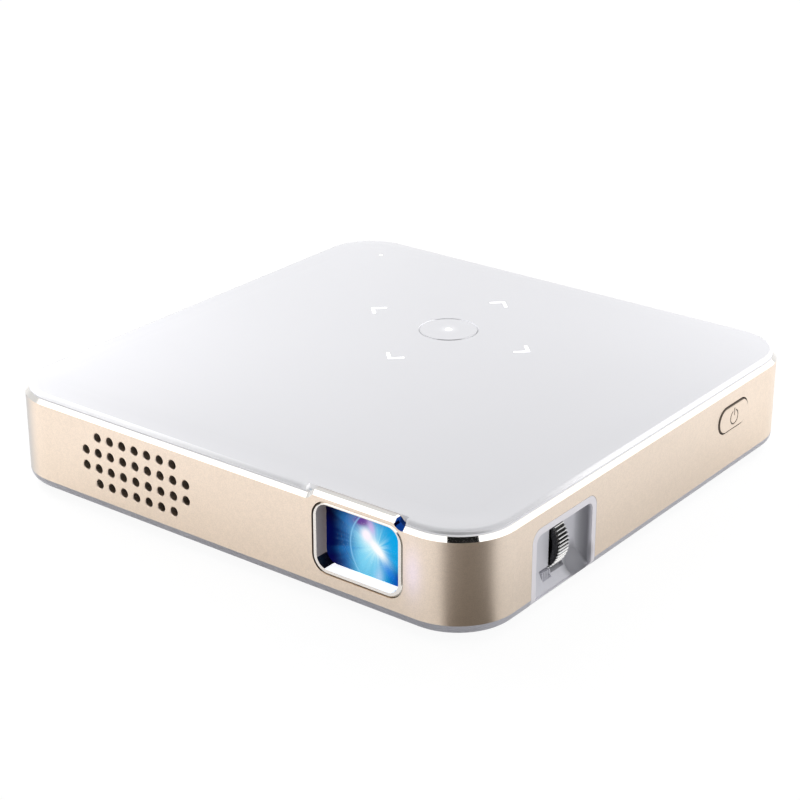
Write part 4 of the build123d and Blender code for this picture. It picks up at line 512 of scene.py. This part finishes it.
# a painted glow standing for the lens's light caught by the window's lower wall
wall_painted_glow = lit_plastic(
    "wall_painted_glow",
    roughness=0.35,
    grain=0.4,
    colours=((0.86, 0.86, 0.86), (0.92, 0.92, 0.92)),
    lights=((0.96, 0.97, 1.0), (1.0, 0.98, 0.97)),
    strength=0.8,
)
# painted shade: a darker grey-brown for the window's upper and side walls
wall_painted_shade = finish("wall_painted_shade", linear((172, 158, 152)), 0.35)
# painted shade: near black for the window's corners
corner_painted_shade = finish("corner_painted_shade", (0.006, 0.005, 0.006), 0.3)
# painted shade: brown for the grooves and the power button's slot
groove_painted_shade = finish("groove_painted_shade", linear((96, 84, 72)), 0.5)
rim_satin = polished("rim_satin", (0.83, 0.79, 0.75), 0.25)
lit = lit_plastic(
    "icon_lit",
    roughness=0.4,
    grain=0.3,
    colours=((0.9, 0.9, 0.92), (0.95, 0.95, 0.95)),
    lights=((0.96, 0.97, 1.0), (1.0, 1.0, 1.0)),
    strength=1.2,
)
# a painted glow that makes the gasket's thin lines paler
gasket_painted_glow = {"Emission_Color": (1, 1, 1, 1), "Emission_Strength": 0.22}

looks = {
    "side_band": gold,
    "top_cover": cover_white(),
    "cover_gasket": finish("gasket_grey", linear((214, 214, 218)), 0.5, **gasket_painted_glow),
    "bottom_shell": finish("shell_grey", linear((190, 190, 198)), 0.42),
    "lens_bezel": polished("bezel_metal", (0.97, 0.93, 0.87), 0.2),
    "window_glass": clear_glass("window", (1.0, 1.0, 1.0), 1.06),
    "window_mask": lens_painted_glow,
    "focus_pocket": insert_grey(),
    "focus_wheel": wheel_metal(),
    "wheel_axle": steel,
    "wheel_bracket": black_plastic,
    "idler_gear": nylon,
    "idler_pin": steel,
    "focus_ring": nylon,
    "lens_cell": lens_painted_glow,
    "front_lens": lens_painted_glow,
    "middle_lens": optical,
    "rear_lens": optical,
    "lens_housing": lens_painted_glow,
    "engine_housing": black_plastic,
    "engine_lid": black_plastic,
    "prism": optical,
    "mirror_chip": polished("chip_mirror", (0.8, 0.8, 0.85), 0.05),
    "mirror_chip_board": board_green,
    "dichroic_plates": optical,
    "relay_lens": optical,
    "collimator_lenses": optical,
    "led_modules": finish("board_white", (0.8, 0.8, 0.76), 0.4),
    "heat_spreader": copper,
    "heat_pipe": copper,
    "heat_sink": finish("aluminium", (0.75, 0.75, 0.76), 0.35, Metallic=1.0),
    "fan_housing": black_plastic,
    "fan_lid": finish("lid_metal", (0.7, 0.7, 0.71), 0.35, Metallic=1.0),
    "fan_motor": copper,
    "fan_rotor": black_plastic,
    "battery": finish(
        "battery_foil", (0.6, 0.61, 0.64), 0.3, grain=1.2, relief=0.05, Metallic=0.6
    ),
    "wire_leads": finish("wire_black", (0.03, 0.03, 0.03), 0.45),
    "main_board": board_green,
    "board_screws": steel,
    "shield_can": steel,
    "board_chips": finish("chip_black", (0.02, 0.02, 0.02), 0.6),
    "hdmi_socket": steel,
    "usb_socket": steel,
    "audio_socket": black_plastic,
    "dc_socket": black_plastic,
    "port_panel": finish("panel_grey", linear((150, 150, 154)), 0.5),
    "touch_board": board_green,
    "touch_flex": finish("flex_amber", (0.5, 0.22, 0.04), 0.35),
    "touch_icons": lit,
    "status_light_pipe": lit,
    "speaker_cloth": finish("cloth_black", (0.03, 0.027, 0.024), 0.9, grain=0.15, relief=0.05),
    "speaker_frame": black_plastic,
    "speaker_cone": finish("cone_black", (0.04, 0.04, 0.04), 0.8),
    "speaker_magnet": steel,
    "power_button": gold,
    "switch_bracket": black_plastic,
    "button_switch": board_green,
    "rubber_feet": finish("foot_rubber", (0.03, 0.03, 0.03), 0.8, relief=0.03),
    "case_screws": steel,
    "tripod_bush": finish("brass", (0.75, 0.55, 0.25), 0.3, Metallic=1.0),
}
for name, look in looks.items():
    mesh = nodes[name].data
    mesh.materials.clear()
    mesh.materials.append(look)


# ---------------------------------------------------------------- second looks of some faces
CHAMFER_FOOT = 16.9
# the power button's slot: how far in it starts, its ends, its heights, and the button's face
SLOT_DEEP, SLOT_ENDS, SLOT_HEIGHTS, BUTTON_FACE = 48, (18, 45), (5, 15.5), 50.2


def second_look(name, material, chosen):
    """Another material for the faces that chosen picks by their normal and their centre in
    millimetres."""
    mesh = nodes[name].data
    mesh.materials.append(material)
    slot = len(mesh.materials) - 1
    for face in mesh.polygons:
        if chosen(face.normal, face.center / MM):
            face.material_index = slot


def cut_edge(n, c):
    """The band's top chamfer."""
    return n.z > 0.3 and c.z > CHAMFER_FOOT


def slot_wall(n, c):
    """The walls of the power button's slot."""
    inside = SLOT_ENDS[0] < c.y < SLOT_ENDS[1] and SLOT_HEIGHTS[0] < c.z < SLOT_HEIGHTS[1]
    return inside and c.x > SLOT_DEEP and n.x < 0.3


def window_wall(n, c):
    """The walls of the window's opening: they face its middle."""
    return abs(n.y) < 0.1 and n.x * (WINDOW[0] - c.x) + n.z * (WINDOW[2] - c.z) > 0


second_look("side_band", polish_gold, cut_edge)
# painted shade on the walls of the power button's slot
second_look("side_band", groove_painted_shade, slot_wall)
# painted shade on the power button's sides inside its slot
second_look("power_button", groove_painted_shade, lambda n, c: c.x < BUTTON_FACE)
for look, this_way in (
    # painted shade on the upper wall and the two at the sides, a painted glow on the lower wall,
    # and painted shade in the corners
    (wall_painted_shade, lambda n: n.z < 0.3),
    (wall_painted_glow, lambda n: n.z > 0.9),
    (corner_painted_shade, lambda n: n.x > 0.1 and 0.3 <= n.z <= 0.98),
    (corner_painted_shade, lambda n: 0.3 < n.x < 0.8 and n.z < -0.4),
):
    second_look("lens_bezel", look, lambda n, c: window_wall(n, c) and this_way(n))
# painted shade on the left part of the frame's outer bevel, and a duller metal on its front face
second_look("lens_bezel", groove_painted_shade, lambda n, c: -0.9 < n.y < -0.5 and n.x < -0.3)
second_look("lens_bezel", rim_satin, lambda n, c: n.y < -0.95)


# ---------------------------------------------------------------- floor, backdrop and light
# the corners of a square of side 2
SQUARE = ((-1, -1), (1, -1), (1, 1), (-1, 1))
FLOOR_HALF = 3.0
FLOOR_ALBEDO = 0.8
FLOOR_SEEN, FLOOR_SHADOW = 0.93, 0.10
FLOOR_MIRRORED, FLOOR_MIRRORED_SHADE = 0.42, 0.78


def stage_plate(name, corners, shader_maker):
    mesh = bpy.data.meshes.new(name)
    mesh.from_pydata(corners, [], [range(len(corners))])
    plate = bpy.data.objects.new(name, mesh)
    scene.collection.objects.link(plate)
    material = bpy.data.materials.new(name)
    material.use_nodes = True
    material.node_tree.nodes.clear()
    shader_maker(material.node_tree)
    mesh.materials.append(material)
    return plate


def ray_kinds(tree):
    """Fields that are 1 for a ray from the camera, off a mirror and through glass."""
    path = tree.nodes.new("ShaderNodeLightPath")
    kinds = ("Is Camera Ray", "Is Glossy Ray", "Is Transmission Ray")
    return [Field(tree, path.outputs[kind]) for kind in kinds]


def floor_shader(tree):
    """White to the camera with a faint shadow, a plain pale floor to the light and half of
    each to a mirror."""
    camera_ray, glossy_ray, clear_ray = ray_kinds(tree)
    seen = camera_ray.math("MAXIMUM", clear_ray)
    bright = tree.nodes.new("ShaderNodeEmission")
    strength = seen * FLOOR_SEEN + glossy_ray * FLOOR_MIRRORED
    tree.links.new(strength.socket, bright.inputs["Strength"])
    matt = tree.nodes.new("ShaderNodeBsdfDiffuse")
    shade = seen * (FLOOR_SHADOW - FLOOR_ALBEDO)
    shade = shade + glossy_ray * (FLOOR_MIRRORED_SHADE - FLOOR_ALBEDO) + FLOOR_ALBEDO
    grey = tree.nodes.new("ShaderNodeCombineColor")
    for slot in grey.inputs[:3]:
        tree.links.new(shade.socket, slot)
    tree.links.new(grey.outputs[0], matt.inputs["Color"])
    both = tree.nodes.new("ShaderNodeAddShader")
    tree.links.new(matt.outputs[0], both.inputs[0])
    tree.links.new(bright.outputs[0], both.inputs[1])
    out = tree.nodes.new("ShaderNodeOutputMaterial")
    tree.links.new(both.outputs[0], out.inputs[0])


stage_plate("floor", [(sx * FLOOR_HALF, sy * FLOOR_HALF, 0) for sx, sy in SQUARE], floor_shader)


def glow_shader(grey):
    def shade(tree):
        glow = tree.nodes.new("ShaderNodeEmission")
        glow.inputs["Color"].default_value = (*grey, 1)
        out = tree.nodes.new("ShaderNodeOutputMaterial")
        tree.links.new(glow.outputs[0], out.inputs[0])

    return shade


def mirror_only(name, corners, grey):
    """A matt card that only mirrors see, to shape the reflections in the metal."""
    plate = stage_plate(name, corners, glow_shader(grey))
    plate.visible_camera = False
    plate.visible_diffuse = False
    plate.visible_transmission = False
    plate.visible_shadow = False


def card(name, middle, facing, size, grey):
    turn = Vector(facing).to_track_quat("Z", "Y")
    corners = [(sx * size[0] / 2, sy * size[1] / 2, 0) for sx, sy in SQUARE]
    mirror_only(name, [(turn @ Vector(corner) + Vector(middle)) * MM for corner in corners], grey)


# the near corner of the band, and the outline of the flag on the floor, seen from there
NEAR_CORNER = Vector((46.9, -46.9, 0))
FAN = ((-2.4, -2.2), (16, -110), (60, -100), (100, -60), (112, 14), (3.2, 4.4))
FAN_HEIGHT = 0.3
DUSK, NIGHT = (0.2, 0.18, 0.16), (0.01, 0.01, 0.01)
NAVY, DAY = (0.0, 0.008, 0.09), (1.3, 1.28, 1.24)

outline = [(NEAR_CORNER + Vector((*point, FAN_HEIGHT))) * MM for point in FAN]
mirror_only("floor_flag", outline, DUSK)
# each flag's middle from the near corner, the way it faces, its size and its colour
for name, offset, facing, size, grey in (
    ("corner_flag", (78, -52, 26), (-0.83, 0.56, 0), (130, 52), DUSK),
    ("overhead_flag", (118, -98, 396), (-0.3, 0.23, -0.93), (270, 130), NIGHT),
    ("camera_flag", (190, -220, 120), (-0.6, 0.7, -0.36), (220, 200), NAVY),
):
    card(name, NEAR_CORNER + Vector(offset), facing, size, grey)
card("right_card", (290, 470, 240), (-0.48, -0.78, -0.4), (420, 260), DAY)

# the sky's light on matt surfaces, and what a mirror sees of it from the horizon upwards
SKY_LIGHT, SKY_CAMERA_SIDE = 0.6, 0.1
SKY_LOW, SKY_MIDDLE, SKY_HIGH = 0.9, 0.7, 1.35
SKY_MIDDLE_START, SKY_HIGH_START = (0.02, 0.3), (0.47, 0.56)

world = bpy.data.worlds.new("studio")
scene.world = world
world.use_nodes = True
tree = world.node_tree
tree.nodes.clear()
sky = tree.nodes.new("ShaderNodeBackground")
sky.inputs["Color"].default_value = (1, 1, 1, 1)
heading = tree.nodes.new("ShaderNodeSeparateXYZ")
tree.links.new(tree.nodes.new("ShaderNodeTexCoord").outputs["Generated"], heading.inputs[0])
east, north, height = (Field(tree, out) for out in heading.outputs)
camera_ray, glossy_ray, clear_ray = ray_kinds(tree)
mirrored = height.ramp(*SKY_MIDDLE_START, SKY_LOW, SKY_MIDDLE)
mirrored = mirrored + height.ramp(*SKY_HIGH_START, 0.0, SKY_HIGH - SKY_MIDDLE)
seen = camera_ray.math("MAXIMUM", clear_ray)
light = towards_near_corner(east, north).ramp(0.2, 0.95, SKY_LIGHT, SKY_CAMERA_SIDE)
matt_ray = -seen.math("MAXIMUM", glossy_ray) + 1.0
strength = glossy_ray * mirrored + seen + matt_ray * light
tree.links.new(strength.socket, sky.inputs["Strength"])
out = tree.nodes.new("ShaderNodeOutputWorld")
tree.links.new(sky.outputs[0], out.inputs[0])


def softbox(name, place, aim, size, power):
    lamp = bpy.data.lights.new(name, "AREA")
    lamp.shape = "RECTANGLE"
    lamp.size, lamp.size_y = size[0] * MM, size[1] * MM
    lamp.energy = power
    box = bpy.data.objects.new(name, lamp)
    box.location = Vector(place) * MM
    box.rotation_euler = (Vector(aim) * MM - box.location).to_track_quat("-Z", "Y").to_euler()
    box.visible_glossy = False
    scene.collection.objects.link(box)


softbox("key", (-450, 350, 500), (0, 0, 0), (500, 500), 1.6)
softbox("left_fill", (-90, -50, 79), (0, 0, 19), (40, 40), 0.042)
softbox("back_fill", (70, 90, 79), (0, 0, 19), (40, 40), 0.034)
softbox("far_fill", (-85, 80, 60), (-20, 20, 19), (40, 40), 0.014)
softbox("right_fill", (260, -90, 60), (48, -25, 8), (150, 100), 0.12)
